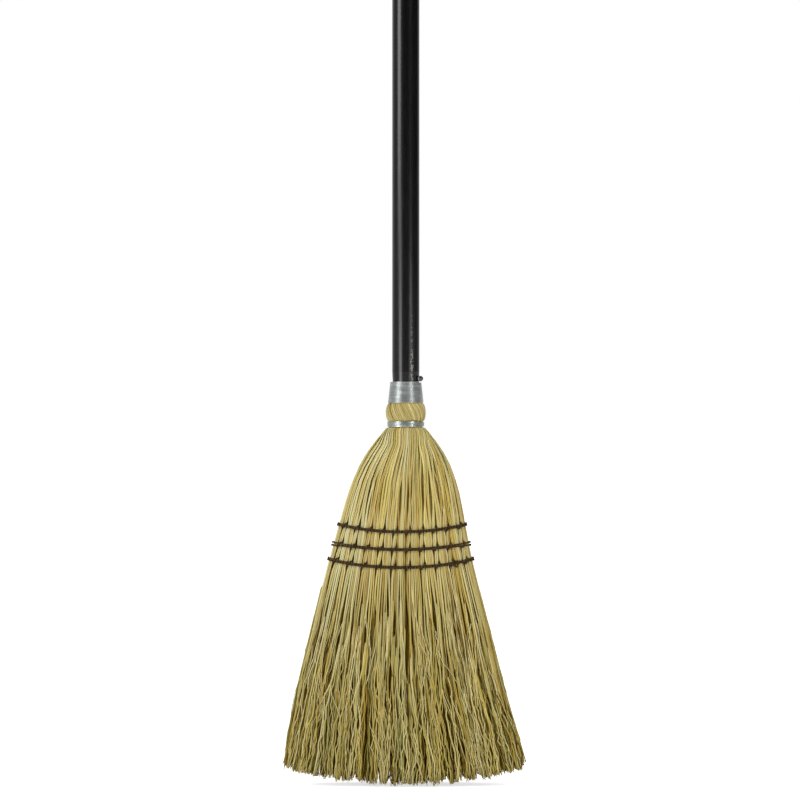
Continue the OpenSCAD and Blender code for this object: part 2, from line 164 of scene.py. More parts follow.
@dataclass(frozen=True)
class BroomcornStraw:
    """Dried broomcorn: split stalks with a waxy skin, gold by the neck and olive in the fibres.

    The long fibres in the skin give each stalk fine streaks along its length and a soft sheen.
    """

    name: str = "dried_broomcorn_straw"
    # Real streaks are about 0.1 mm wide; they are drawn this coarse so that they show.
    streak_mm: float = 0.7
    streak_stretch: float = 0.05
    blotch_mm: float = 18.0
    stalk_colours: Ramp = (
        (0.0, "#a98d49"), (0.16, "#c3aa63"), (0.3, "#b8ab70"), (0.44, "#cdb876"), (0.56, "#c0b780"),
        (0.7, "#d6c68f"), (0.82, "#ccc998"), (0.92, "#ddd1a2"), (1.0, "#e8ddb2"),
    )
    fibre_colours: Ramp = (
        (0.0, "#5e4a14"), (0.16, "#a1872f"), (0.32, "#c4aa54"), (0.46, "#989254"), (0.6, "#bcac62"),
        (0.76, "#c8b672"), (0.9, "#c5ba7c"), (1.0, "#dbcd94"),
    )
    lot_tints: Ramp = ((0.0, "#f0fbff"), (0.5, "#ffffff"), (1.0, "#fef8c9"))
    # Dark warm colour that the painted shade multiplies in.
    painted_shade_tint: str = "#907a00"
    streak_share: float = 0.5
    blotch_share: float = 0.3
    middle_tone: float = 0.4
    roughness: Range = (0.42, 0.66)
    bump_strength: float = 0.25
    bump_mm: float = 0.15
    sheen: float = 0.2

    def make(self) -> Material:
        """Builds the material; it reads each strand's tone, run, shade and gold from its mesh.

        Returns:
            The material.
        """
        material, tree, output = new_material(self.name)
        grain = add_node(tree, "ShaderNodeAttribute", {"attribute_name": "grain"})
        tone = add_node(tree, "ShaderNodeSeparateXYZ", inputs={0: grain.outputs["Vector"]})
        place = add_node(tree, "ShaderNodeTexCoord")
        along = add_node(
            tree, "ShaderNodeMapping",
            inputs={"Vector": place.outputs["Object"], "Scale": (1.0, 1.0, self.streak_stretch)})
        streaks = add_node(
            tree, "ShaderNodeTexNoise",
            inputs={"Vector": along, "Scale": per_mm(self.streak_mm), "Detail": 2.0})
        blotches = add_node(
            tree, "ShaderNodeTexNoise",
            inputs={"Vector": along, "Scale": per_mm(self.blotch_mm), "Detail": 1.0})
        streaky = add_node(
            tree, "ShaderNodeMath", {"operation": "MULTIPLY_ADD"},
            {0: streaks, 1: self.streak_share, 2: tone.outputs["X"]})
        varied = add_node(
            tree, "ShaderNodeMath", {"operation": "MULTIPLY_ADD"},
            {0: blotches, 1: self.blotch_share, 2: streaky})
        centred = add_node(
            tree, "ShaderNodeMath", {"operation": "SUBTRACT", "use_clamp": True},
            {0: varied, 1: self.middle_tone})
        stalk = add_node(tree, "ShaderNodeValToRGB", inputs={0: centred}, ramp=self.stalk_colours)
        fibre = add_node(tree, "ShaderNodeValToRGB", inputs={0: centred}, ramp=self.fibre_colours)
        length = add_node(
            tree, "ShaderNodeMix", {"data_type": "RGBA"},
            {"Factor": tone.outputs["Y"], "A": stalk, "B": fibre})
        lot = add_node(tree, "ShaderNodeAttribute", {"attribute_name": "gold"})
        tint = add_node(tree, "ShaderNodeValToRGB", inputs={0: lot.outputs["Fac"]}, ramp=self.lot_tints)
        tinted = add_node(
            tree, "ShaderNodeMix", {"data_type": "RGBA", "blend_type": "MULTIPLY"},
            {"Factor": 1.0, "A": length.outputs["Result"], "B": tint})
        # Painted shade: the grain's shade darkens and warms the straw in the gaps, on the stalks' flanks
        # and on the layers underneath.
        shaded = add_node(
            tree, "ShaderNodeMix", {"data_type": "RGBA", "blend_type": "MULTIPLY"},
            {"Factor": tone.outputs["Z"], "A": tinted.outputs["Result"], "B": srgb_hex(self.painted_shade_tint)})
        rough = add_node(
            tree, "ShaderNodeMapRange",
            inputs={"Value": streaks, "To Min": self.roughness[0], "To Max": self.roughness[1]})
        bump = add_node(
            tree, "ShaderNodeBump",
            inputs={"Strength": self.bump_strength, "Distance": self.bump_mm * MM, "Height": streaks})
        # The sheen fades where the painted shade lies.
        sheen = add_node(
            tree, "ShaderNodeMath", {"operation": "MULTIPLY_ADD"},
            {0: tone.outputs["Z"], 1: -self.sheen, 2: self.sheen})
        shader = add_node(
            tree, "ShaderNodeBsdfPrincipled",
            inputs={"Base Color": shaded.outputs["Result"], "Roughness": rough,
                    "Normal": bump, "Specular IOR Level": sheen})
        tree.links.new(shader.outputs[0], output.inputs[0])
        return material


@dataclass(frozen=True)
class BlackLacquer:
    """Black lacquer sprayed on turned hardwood: dark and satin, with pores and a rubbed streak whose pale
    flecks are partly painted highlight.

    The grain telegraphs through as fine lines along the handle, which break up the highlight.
    """

    name: str = "black_lacquered_hardwood"
    colour: str = "#040404"
    grain_colour: str = "#0a0b0b"
    # Painted highlight and wear: pale flecks in the rubbed streak, partly worn-through lacquer and partly
    # a painted glint of the right-hand lamp.
    bare_and_glint_colour: str = "#93918b"
    # Pores under lacquer are about 0.2 mm wide; they are drawn this coarse so that they show.
    grain_mm: float = 0.9
    grain_stretch: float = 0.06
    speck_mm: float = 1.2
    # Place of the rubbed streak, which holds the painted glint too.
    rub_and_glint_turn_deg: float = 27.0
    rub_and_glint_width_deg: float = 20.0
    rub_and_glint_low_mm: float = 334.0
    rub_and_glint_high_mm: float = 432.0
    grain_range: Range = (0.45, 0.75)
    fleck_share: float = 0.42
    fleck_range: Range = (0.82, 0.96)
    roughness: Range = (0.16, 0.28)
    rub_roughness: float = 0.25
    peel: float = 1.6
    rub_peel: float = 16.0
    bump_strength: float = 0.12
    bump_mm: float = 0.1
    ior: float = 1.5

    def make(self) -> Material:
        """Builds the material.

        Returns:
            The material.
        """
        material, tree, output = new_material(self.name)
        place = add_node(tree, "ShaderNodeTexCoord")
        along = add_node(
            tree, "ShaderNodeMapping",
            inputs={"Vector": place.outputs["Object"], "Scale": (1.0, 1.0, self.grain_stretch)})
        pores = add_node(
            tree, "ShaderNodeTexNoise",
            inputs={"Vector": along, "Scale": per_mm(self.grain_mm), "Detail": 3.0})
        specks = add_node(
            tree, "ShaderNodeTexNoise",
            inputs={"Vector": place.outputs["Object"], "Scale": per_mm(self.speck_mm), "Detail": 4.0})
        axes = add_node(tree, "ShaderNodeSeparateXYZ", inputs={0: place.outputs["Object"]})
        frontward = add_node(
            tree, "ShaderNodeMath", {"operation": "MULTIPLY"}, {0: axes.outputs["Y"], 1: -1.0})
        turn = add_node(
            tree, "ShaderNodeMath", {"operation": "ARCTAN2"}, {0: axes.outputs["X"], 1: frontward})
        off = add_node(
            tree, "ShaderNodeMath", {"operation": "SUBTRACT"},
            {0: turn, 1: math.radians(self.rub_and_glint_turn_deg)})
        away = add_node(tree, "ShaderNodeMath", {"operation": "ABSOLUTE"}, {0: off})
        across = add_node(
            tree, "ShaderNodeMapRange",
            inputs={"Value": away, "From Min": 0.0,
                    "From Max": math.radians(self.rub_and_glint_width_deg), "To Min": 1.0, "To Max": 0.0})
        fade = add_node(
            tree, "ShaderNodeMapRange",
            inputs={"Value": axes.outputs["Z"], "From Min": self.rub_and_glint_low_mm * MM,
                    "From Max": self.rub_and_glint_high_mm * MM, "To Min": 1.0, "To Max": 0.0})
        rub_and_glint = add_node(tree, "ShaderNodeMath", {"operation": "MULTIPLY"}, {0: across, 1: fade})
        # Painted highlight and wear: flecks of worn lacquer, painted pale for the lamp's glint.
        flecks = add_node(
            tree, "ShaderNodeMath", {"operation": "MULTIPLY_ADD"},
            {0: rub_and_glint, 1: self.fleck_share, 2: specks})
        bare_and_glint = add_node(
            tree, "ShaderNodeMapRange",
            inputs={"Value": flecks, "From Min": self.fleck_range[0], "From Max": self.fleck_range[1]})
        paint = add_node(
            tree, "ShaderNodeValToRGB", inputs={0: pores},
            ramp=((self.grain_range[0], self.colour), (self.grain_range[1], self.grain_colour)))
        worn_and_glint = add_node(
            tree, "ShaderNodeMix", {"data_type": "RGBA"},
            {"Factor": bare_and_glint, "A": paint, "B": srgb_hex(self.bare_and_glint_colour)})
        gloss = add_node(
            tree, "ShaderNodeMapRange",
            inputs={"Value": pores, "To Min": self.roughness[0], "To Max": self.roughness[1]})
        rough = add_node(
            tree, "ShaderNodeMath", {"operation": "MULTIPLY_ADD"},
            {0: rub_and_glint, 1: self.rub_roughness, 2: gloss})
        peel = add_node(
            tree, "ShaderNodeMath", {"operation": "MULTIPLY_ADD"},
            {0: rub_and_glint, 1: self.rub_peel, 2: self.peel})
        relief = add_node(
            tree, "ShaderNodeMath", {"operation": "MULTIPLY_ADD"}, {0: peel, 1: specks, 2: pores})
        bump = add_node(
            tree, "ShaderNodeBump",
            inputs={"Strength": self.bump_strength, "Distance": self.bump_mm * MM, "Height": relief})
        shader = add_node(
            tree, "ShaderNodeBsdfPrincipled",
            inputs={"Base Color": worn_and_glint.outputs["Result"], "Roughness": rough,
                    "Normal": bump, "IOR": self.ior})
        tree.links.new(shader.outputs[0], output.inputs[0])
        return material


@dataclass(frozen=True)
class GalvanisedWire:
    """Drawn steel wire with a dull zinc coat: grey metal with a soft shine.

    The coat is patchy along the wire, so the shine differs a little from turn to turn.
    """

    name: str = "galvanised_drawn_wire"
    colour: str = "#ccd1d0"
    dull_colour: str = "#abb1b0"
    # Patches of zinc are narrower than the wire; they are drawn this coarse so that they show.
    streak_mm: float = 1.7
    streak_stretch: float = 0.16
    coat_range: Range = (0.35, 0.65)
    roughness: Range = (0.24, 0.38)

    def make(self) -> Material:
        """Builds the material.

        Returns:
            The material.
        """
        material, tree, output = new_material(self.name)
        place = add_node(tree, "ShaderNodeTexCoord")
        wide = self.streak_stretch
        around = add_node(
            tree, "ShaderNodeMapping",
            inputs={"Vector": place.outputs["Object"], "Scale": (wide, wide, 1.0)})
        streaks = add_node(
            tree, "ShaderNodeTexNoise",
            inputs={"Vector": around, "Scale": per_mm(self.streak_mm), "Detail": 2.0})
        zinc = add_node(
            tree, "ShaderNodeValToRGB", inputs={0: streaks},
            ramp=((self.coat_range[0], self.dull_colour), (self.coat_range[1], self.colour)))
        rough = add_node(
            tree, "ShaderNodeMapRange",
            inputs={"Value": streaks, "To Min": self.roughness[0], "To Max": self.roughness[1]})
        shader = add_node(
            tree, "ShaderNodeBsdfPrincipled",
            inputs={"Base Color": zinc, "Roughness": rough, "Metallic": 1.0})
        tree.links.new(shader.outputs[0], output.inputs[0])
        return material


@dataclass(frozen=True)
class PlainNailSteel:
    """Plain drawn nail steel: much darker than zinc, with small pits and a soft shine."""

    name: str = "plain_nail_steel"
    colour: str = "#74736f"
    pit_colour: str = "#4d4c49"
    # Pits are about 0.2 mm across; they are drawn this coarse so that they show.
    pit_mm: float = 0.8
    pit_range: Range = (0.38, 0.6)
    roughness: Range = (0.42, 0.3)
    bump_strength: float = 0.2
    bump_mm: float = 0.1

    def make(self) -> Material:
        """Builds the material.

        Returns:
            The material.
        """
        material, tree, output = new_material(self.name)
        place = add_node(tree, "ShaderNodeTexCoord")
        pits = add_node(
            tree, "ShaderNodeTexNoise",
            inputs={"Vector": place.outputs["Object"], "Scale": per_mm(self.pit_mm), "Detail": 3.0})
        steel = add_node(
            tree, "ShaderNodeValToRGB", inputs={0: pits},
            ramp=((self.pit_range[0], self.pit_colour), (self.pit_range[1], self.colour)))
        rough = add_node(
            tree, "ShaderNodeMapRange",
            inputs={"Value": pits, "To Min": self.roughness[0], "To Max": self.roughness[1]})
        bump = add_node(
            tree, "ShaderNodeBump",
            inputs={"Strength": self.bump_strength, "Distance": self.bump_mm * MM, "Height": pits})
        shader = add_node(
            tree, "ShaderNodeBsdfPrincipled",
            inputs={"Base Color": steel, "Roughness": rough, "Normal": bump, "Metallic": 1.0})
        tree.links.new(shader.outputs[0], output.inputs[0])
        return material


@dataclass(frozen=True)
class WaxedTwine:
    """Twisted bast twine dyed dark brown and waxed: matt, with paler fibres on the ply crowns."""

    name: str = "waxed_brown_twine"
    colour: str = "#190f05"
    fibre_colour: str = "#624923"
    # Bast fibres are finer than 0.1 mm; they are drawn this coarse so that they show.
    fibre_mm: float = 0.9
    dye_range: Range = (0.36, 0.66)
    roughness: Range = (0.5, 0.75)
    bump_strength: float = 0.4
    bump_mm: float = 0.15
    sheen: float = 0.3

    def make(self) -> Material:
        """Builds the material.

        Returns:
            The material.
        """
        material, tree, output = new_material(self.name)
        place = add_node(tree, "ShaderNodeTexCoord")
        fibres = add_node(
            tree, "ShaderNodeTexNoise",
            inputs={"Vector": place.outputs["Object"], "Scale": per_mm(self.fibre_mm), "Detail": 2.0})
        dye = add_node(
            tree, "ShaderNodeValToRGB", inputs={0: fibres},
            ramp=((self.dye_range[0], self.colour), (self.dye_range[1], self.fibre_colour)))
        rough = add_node(
            tree, "ShaderNodeMapRange",
            inputs={"Value": fibres, "To Min": self.roughness[0], "To Max": self.roughness[1]})
        bump = add_node(
            tree, "ShaderNodeBump",
            inputs={"Strength": self.bump_strength, "Distance": self.bump_mm * MM, "Height": fibres})
        shader = add_node(
            tree, "ShaderNodeBsdfPrincipled",
            inputs={"Base Color": dye, "Roughness": rough,
                    "Normal": bump, "Specular IOR Level": self.sheen})
        tree.links.new(shader.outputs[0], output.inputs[0])
        return material


@dataclass(frozen=True)
class StudioPaper:
    """White backdrop paper: a matt sheet that takes the broom's soft shadow.

    It glows for the camera alone, so that the sheet looks white without more light on the broom.
    """

    name: str = "white_studio_paper"
    colours: Ramp = ((0.3, "#f3f3f2"), (0.7, "#f6f6f5"))
    # Paper fibres are far finer; they are drawn this coarse so that they can show.
    fibre_mm: float = 4.0
    camera_glow: float = 0.65

    def make(self) -> Material:
        """Builds the material.

        Returns:
            The material.
        """
        material, tree, output = new_material(self.name)
        path = add_node(tree, "ShaderNodeLightPath")
        place = add_node(tree, "ShaderNodeTexCoord")
        fibre = add_node(
            tree, "ShaderNodeTexNoise",
            inputs={"Vector": place.outputs["Object"], "Scale": per_mm(self.fibre_mm)})
        paper = add_node(tree, "ShaderNodeValToRGB", inputs={0: fibre}, ramp=self.colours)
        diffuse = add_node(tree, "ShaderNodeBsdfDiffuse", inputs={"Color": paper})
        glow = add_node(
            tree, "ShaderNodeMath", {"operation": "MULTIPLY"},
            {0: path.outputs["Is Camera Ray"], 1: self.camera_glow})
        lift = add_node(tree, "ShaderNodeEmission", inputs={"Strength": glow})
        shown = add_node(tree, "ShaderNodeAddShader", inputs={0: diffuse, 1: lift})
        tree.links.new(shown.outputs[0], output.inputs[0])
        return material


@dataclass
class StrandBatch:
    """Strands of equal ring count; n strands of m rings, lengths in millimetres."""

    points: Array
    outward: Array
    half_width: Array
    half_depth: Array
    grain: Array
    sides: int
    rings_per_strip: int
    edge_shade: float

    def strips_each(self) -> int:
        """Strips of the map that one strand takes."""
        return math.ceil((self.points.shape[1] - 1) / self.rings_per_strip)

    def turns(self) -> Array:
        """Angles of the corners round a ring."""
        return 2 * math.pi * np.arange(self.sides) / self.sides


@dataclass
class StrandMesh:
    """Collects strands as closed tubes and joins them into one mesh with a strip map."""

    strip_aspect: float = 4.0
    strip_margin: float = 0.08
    cap_share: float = 0.4
    batches: list[StrandBatch] = field(default_factory=list)

    def add(
        self,
        points: Array,
        outward: Array,
        half_width: Array | float,
        half_depth: Array | float,
        grain: Array | tuple[float, float, float, float] = (0.5, 0.0, 0.0, 0.5),
        sides: int = 5,
        rings_per_strip: int = 0,
        edge_shade: float = 0.0,
    ) -> None:
        """Adds strands.

        Args:
            points: Centre lines, n by m by 3.
            outward: Directions out of the surface they lie on, n by m by 3.
            half_width: Half widths along the surface, n by m or one value.
            half_depth: Half thicknesses out of the surface, n by m or one value.
            grain: Tone, run, shade and gold, n by m by 4 or one set.
            sides: Sides of a strand's section.
            rings_per_strip: Rings that share a strip of the map, or 0 for all of them.
            edge_shade: Shade that a strand's flanks get and its crown doesn't.
        """
        n, m, _ = points.shape
        self.batches.append(StrandBatch(
            points, outward, np.broadcast_to(half_width, (n, m)), np.broadcast_to(half_depth, (n, m)),
            np.broadcast_to(grain, (n, m, 4)), sides, rings_per_strip or m - 1, edge_shade))

    def tube_points(self, batch: StrandBatch) -> Array:
        """Works out the rings of a batch.

        Args:
            batch: The strands.

        Returns:
            Points, n by m by sides by 3.
        """
        tangent = np.gradient(batch.points, axis=1)
        tangent /= np.linalg.norm(tangent, axis=2, keepdims=True)
        across = np.cross(tangent, batch.outward)
        across /= np.linalg.norm(across, axis=2, keepdims=True)
        out = np.cross(across, tangent)
        wide = batch.half_width[:, :, None] * np.cos(batch.turns())
        deep = batch.half_depth[:, :, None] * np.sin(batch.turns())
        return (batch.points[:, :, None, :] + across[:, :, None, :] * wide[..., None]
                + out[:, :, None, :] * deep[..., None])

    def ring_grain(self, batch: StrandBatch) -> Array:
        """Spreads a batch's grain round its rings, with the flanks shaded more than the crowns.

        Args:
            batch: The strands.

        Returns:
            Tone, run, shade and gold, n by m by sides by 4.
        """
        grain = np.repeat(batch.grain[:, :, None, :], batch.sides, axis=2)
        height = np.sin(batch.turns())
        flank = batch.edge_shade * (1 - np.clip(height, 0, 1) / height.max())
        grain[..., 2] += flank * (1 - grain[..., 2])
        return grain

    def strip_map(self, batch: StrandBatch, columns: int, first_strip: int) -> Array:
        """Lays a batch's strands on their strips of the map, with the end caps in the margins.

        Args:
            batch: The strands.
            columns: Strips side by side on the map.
            first_strip: Number of the batch's first strip.

        Returns:
            Corners of the side faces and then of the caps, in strips.
        """
        n, m, _ = batch.points.shape
        ring = np.arange(m - 1)
        strip = first_strip + np.arange(n)[:, None] * batch.strips_each() + ring // batch.rings_per_strip
        run = (ring % batch.rings_per_strip) / batch.rings_per_strip
        margin = self.strip_margin
        span = 1 - 2 * margin
        left = (strip % columns)[:, :, None] + margin + span * np.arange(batch.sides) / batch.sides
        foot = np.broadcast_to((strip // columns + margin + span * run)[:, :, None], left.shape)
        right = left + span / batch.sides
        top = foot + span / batch.rings_per_strip
        sides = np.stack([left, foot, left, top, right, top, right, foot], axis=-1)
        ends = strip[:, [0, -1]]
        height = ends // columns + np.array([margin / 2, 1 - margin / 2])
        middle = np.stack([ends % columns + 0.5, height], axis=-1)
        around = np.stack([np.cos(batch.turns()), np.sin(batch.turns())], axis=-1)
        caps = middle[:, :, None, :] + margin * self.cap_share * around
        return np.concatenate([sides.reshape(-1, 2), caps.reshape(-1, 2)])

    def build(self, name: str) -> Mesh:
        """Joins the batches.

        Args:
            name: Name of the mesh.

        Returns:
            The mesh, with the strands' data as attributes and a strip map.
        """
        strips = sum(len(batch.points) * batch.strips_each() for batch in self.batches)
        columns = math.ceil(math.sqrt(strips * self.strip_aspect))
        rows = math.ceil(strips / columns)
        vertices: list[Array] = []
        grains: list[Array] = []
        faces: list[Sequence[int]] = []
        maps: list[Array] = []
        first_vertex = 0
        first_strip = 0
        for batch in self.batches:
            n, m, _ = batch.points.shape
            vertices.append(self.tube_points(batch).reshape(-1, 3))
            grains.append(self.ring_grain(batch).reshape(-1, 4))
            index = first_vertex + np.arange(n * m * batch.sides).reshape(n, m, batch.sides)
            after = np.roll(index, -1, axis=2)
            quads = np.stack([index[:, :-1], index[:, 1:], after[:, 1:], after[:, :-1]], axis=-1)
            caps = np.stack([index[:, 0], index[:, -1, ::-1]], axis=1)
            faces.extend(quads.reshape(-1, 4).tolist())
            faces.extend(caps.reshape(-1, batch.sides).tolist())
            maps.append(self.strip_map(batch, columns, first_strip))
            first_vertex += index.size
            first_strip += n * batch.strips_each()
        mesh = bpy.data.meshes.new(name)
        mesh.from_pydata((np.concatenate(vertices) * MM).tolist(), [], faces)
        grain = np.concatenate(grains).astype(np.float32)
        shown = mesh.attributes.new("grain", "FLOAT_VECTOR", "POINT")
        shown.data.foreach_set("vector", grain[:, :3].ravel())
        gold = mesh.attributes.new("gold", "FLOAT", "POINT")
        gold.data.foreach_set("value", grain[:, 3].ravel())
        layer = mesh.uv_layers.new(name="OFBake")
        uv = np.concatenate(maps) / np.array([columns, rows])
        layer.data.foreach_set("uv", uv.astype(np.float32).ravel())
        mesh.polygons.foreach_set("use_smooth", np.ones(len(mesh.polygons), dtype=bool))
        mesh.update()
        return mesh


def add_piece(mesh: Mesh, material: Material, nodes: Sequence[str]) -> Object:
    """Puts a finished mesh in the scene in place of CAD nodes.

    Args:
        mesh: Mesh, whose name the piece takes.
        material: Finish of the piece.
        nodes: CAD nodes that the piece stands for.

    Returns:
        The piece.
    """
    piece = bpy.data.objects.new(mesh.name, mesh)
    bpy.context.scene.collection.objects.link(piece)
    mesh.materials.append(material)
    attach(piece, BODY)
    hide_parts(*nodes)
    return piece


def dress_node(node: str, material: Material) -> Object:
    """Gives a CAD node that stays its finish.

    Args:
        node: Name of the CAD node.
        material: Its finish.

    Returns:
        The node's object.
    """
    shown = bpy.data.objects[node]
    for slot in shown.material_slots:
        slot.material = material
    return shown


@dataclass
class HeadShape:
    """Curves of the straw head, from the CAD boxes, in millimetres."""

    trim_r: float = 345.0
    shoulder_drop: float = 73.0
    shoulder_slope: float = 1.12
    belly_slope: float = 0.4
    blunt_share: float = 0.95
    round_share: float = 0.9995
    edge_share: float = 0.999
    soft_gap: float = 0.3
    wire_d: float = 1.0
    twine_d: float = 1.4
    foot_r: float = 6.0
    taper_rise: float = 9.2
    butt_t: float = 0.5
    neck_t: float = 3.0
    bulge_t: float = 6.4
    parting_drop: float = 6.0
    seam_rows: int = 3
    sway_left: float = 4.3
    sway_drop: float = 125.0
    sway_kept: float = 0.25
    straighten_z: float = 95.0
    even_drop: float = 14.0
    row_sag: tuple[float, ...] = (0.0, -1.3, 0.8)
    waist_in: float = 0.5
    waist_h: float = 20.0
    lip_out: float = 1.9
    lip_h: float = 6.0
    lip_rise: float = 0.8
    fibre_z: float = 205.0
    inner_fibre_z: float = 200.0
    fibre_h: float = 150.0

    def __post_init__(self) -> None:
        """Reads the boxes that the curves run through."""
        handle_lo, handle_hi = box_mm("handle")
        band_lo, band_hi = box_mm("band_wire")
        neck_lo, _ = box_mm("neck_wire")
        cover_lo, cover_hi = box_mm("cover_straw_front")
        seams = [box_mm(f"seam_{row + 1}_wrap") for row in range(self.seam_rows)]
        self.handle_foot_z = float(handle_lo[2])
        self.handle_r_max = float(handle_hi[0])
        self.band_z = float(band_lo[2])
        self.band_top_z = float(band_hi[2])
        self.neck_foot_z = float(neck_lo[2])
        self.butt_z = float(cover_hi[2])
        self.taper_z = self.butt_z + self.taper_rise
        self.band_r = float(band_hi[0]) - self.wire_d - self.soft_gap
        self.band_t = self.band_r - self.handle_r(np.array(self.band_z)) - self.soft_gap
        self.seam_z = [float(lo[2]) + self.twine_d for lo, _ in seams]
        self.seam_rise = float(seams[0][1][2] - seams[0][0][2]) - 2 * self.twine_d
        proud = self.twine_d + self.soft_gap
        self.seam_half_t = float(seams[0][1][1]) - proud + self.soft_gap / 2
        first_w = float(seams[0][1][0]) - proud
        last_w = float(seams[-1][1][0]) - proud
        self.side_slope = (last_w - first_w) / (self.seam_z[0] - self.seam_z[-1])
        self.shoulder_z = self.band_z - self.shoulder_drop
        edge_z = self.seam_z[0] + self.seam_rise
        self.shoulder_half_w = first_w - (self.shoulder_z - edge_z) * self.side_slope
        self.parting_z = self.seam_z[-1] - self.parting_drop
        self.tips_half_t = float(-cover_lo[1])
        self.tips_half_w = float(cover_hi[0])

    def handle_r(self, z: Array) -> Array:
        """Radius of the tapered handle at a height."""
        t = np.clip((z - self.handle_foot_z) / (self.taper_z - self.handle_foot_z), 0, 1)
        return self.foot_r + (self.handle_r_max - self.foot_r) * t

    def neck_r(self, z: Array) -> Array:
        """Outside radius of the straw round the handle.

        Args:
            z: Heights from the band up to the butts.

        Returns:
            Radii.
        """
        inside = self.handle_r(z) + self.soft_gap
        climb = np.clip((self.butt_z - z) / (self.butt_z - self.neck_foot_z), 0, 1)
        winding = self.butt_t + (self.neck_t - self.butt_t) * climb
        at = np.clip((self.neck_foot_z - z) / (self.neck_foot_z - self.band_top_z), 0, 1)
        swell = (self.bulge_t - (self.neck_t + self.band_t) / 2) * np.sqrt(np.sin(math.pi * at))
        bulge = self.neck_t + (self.band_t - self.neck_t) * at + np.nan_to_num(swell)
        return inside + np.where(z >= self.neck_foot_z, winding, bulge)

    def hermite(self, z: Array, a: float, slope: float, b: float, end_slope: float) -> Array:
        """Value over the shoulder drop that leaves a with one slope and runs into b with another.

        Args:
            z: Heights.
            a: Value at the band.
            slope: Slope at the band, outwards per length of drop.
            b: Value at the end of the shoulders.
            end_slope: Slope there.

        Returns:
            Values.
        """
        t = np.clip((self.band_z - z) / self.shoulder_drop, 0, 1)
        return ((2 * t**3 - 3 * t**2 + 1) * a + (3 * t**2 - 2 * t**3) * b
                + ((t**3 - 2 * t**2 + t) * slope + (t**3 - t**2) * end_slope) * self.shoulder_drop)

    def half_w(self, z: Array) -> Array:
        """Half the width of the head.

        Args:
            z: Heights.

        Returns:
            Half widths.
        """
        shoulder = self.hermite(
            z, self.band_r, self.shoulder_slope, self.shoulder_half_w, self.side_slope)
        skirt = self.shoulder_half_w + (self.shoulder_z - z) * self.side_slope
        return np.where(z >= self.band_z, self.neck_r(z), np.where(z >= self.shoulder_z, shoulder, skirt))

    def half_t(self, z: Array) -> Array:
        """Half the thickness of the head.

        Args:
            z: Heights.

        Returns:
            Half thicknesses.
        """
        shoulder = self.hermite(z, self.band_r, self.belly_slope, self.seam_half_t, 0.0)
        spread = np.clip((self.parting_z - z) / self.parting_z, 0, 1)
        skirt = self.seam_half_t + (self.tips_half_t - self.seam_half_t) * spread
        return np.where(z >= self.band_z, self.neck_r(z), np.where(z >= self.shoulder_z, shoulder, skirt))

    def lip(self, z: Array) -> Array:
        """How far the straw springs out under the band, at a height."""
        drop = np.maximum(self.band_z - z, 0)
        return self.lip_out * (1 - np.exp(-drop / self.lip_rise)) * np.exp(-drop / self.lip_h)

    def straw_w(self, z: Array) -> Array:
        """Half the width of the loose straw, sprung out under the band and sewn in at the rows."""
        sewn_in = self.waist_in * np.exp(-((z - self.seam_z[1]) / self.waist_h) ** 2)
        return self.half_w(z) + self.lip(z) - sewn_in

    def straw_t(self, z: Array) -> Array:
        """Half the thickness of the loose straw, which springs out under the band."""
        return self.half_t(z) + self.lip(z)

    def blunt(self, z: Array) -> Array:
        """Share of a full oval that the section keeps at a height."""
        t = np.clip((self.band_z - z) / self.shoulder_drop, 0, 1)
        return self.round_share + (self.blunt_share - self.round_share) * t

    def tip_z(self, x: Array) -> Array:
        """Height of the trimmed tips at a distance from the middle."""
        return self.trim_r - np.sqrt(self.trim_r**2 - np.clip(x, -self.trim_r, self.trim_r)**2)

    def sway(self, z: Array) -> Array:
        """Sideways lean of the used straw, which the trimmed tips mostly lose.

        Args:
            z: Heights.

        Returns:
            Shifts along X.
        """
        lean = eased((self.band_z - z) / self.sway_drop)
        lost = (1 - self.sway_kept) * eased((self.straighten_z - z) / self.straighten_z)
        return -self.sway_left * lean * (1 - lost)

    def fibre_run(self, z: Array, start_z: float) -> Array:
        """How far straw has turned from stalk to fibre at a height, from 0 to 1."""
        return eased((start_z - z) / self.fibre_h)

    def place(
        self, u: Array, z: Array, depth: Array, face: Face, twist: Array | float = 0.0
    ) -> tuple[Array, Array]:
        """Points on or under a face of the head.

        Args:
            u: Shares of the half width, from -1 to 1.
            z: Heights.
            depth: Depths under the surface.
            face: Front or back.
            twist: Angles round the handle to add.

        Returns:
            Points and outward directions.
        """
        bow = self.blunt(z)
        oval = np.arcsin(np.clip(u * bow, -self.edge_share, self.edge_share))
        snug = eased((z - self.band_z) / self.even_drop + 1)
        turn = oval + (u * math.pi / 2 - oval) * snug - face.value * twist
        wide = self.straw_w(z) / bow
        deep = self.straw_t(z)
        outward = np.stack(
            [deep * np.sin(turn), face.value * wide * np.cos(turn), np.zeros_like(z)], axis=-1)
        outward /= np.linalg.norm(outward, axis=-1, keepdims=True)
        surface = np.stack(
            [wide * np.sin(turn) + self.sway(z), face.value * deep * np.cos(turn), z], axis=-1)
        return surface - outward * depth[..., None], outward

    def seam_height(self, row: int, u: Array) -> Array:
        """Height of a sewn row at a share of the half width."""
        return self.seam_z[row] + self.seam_rise * u**2 + self.row_sag[row] * u**4


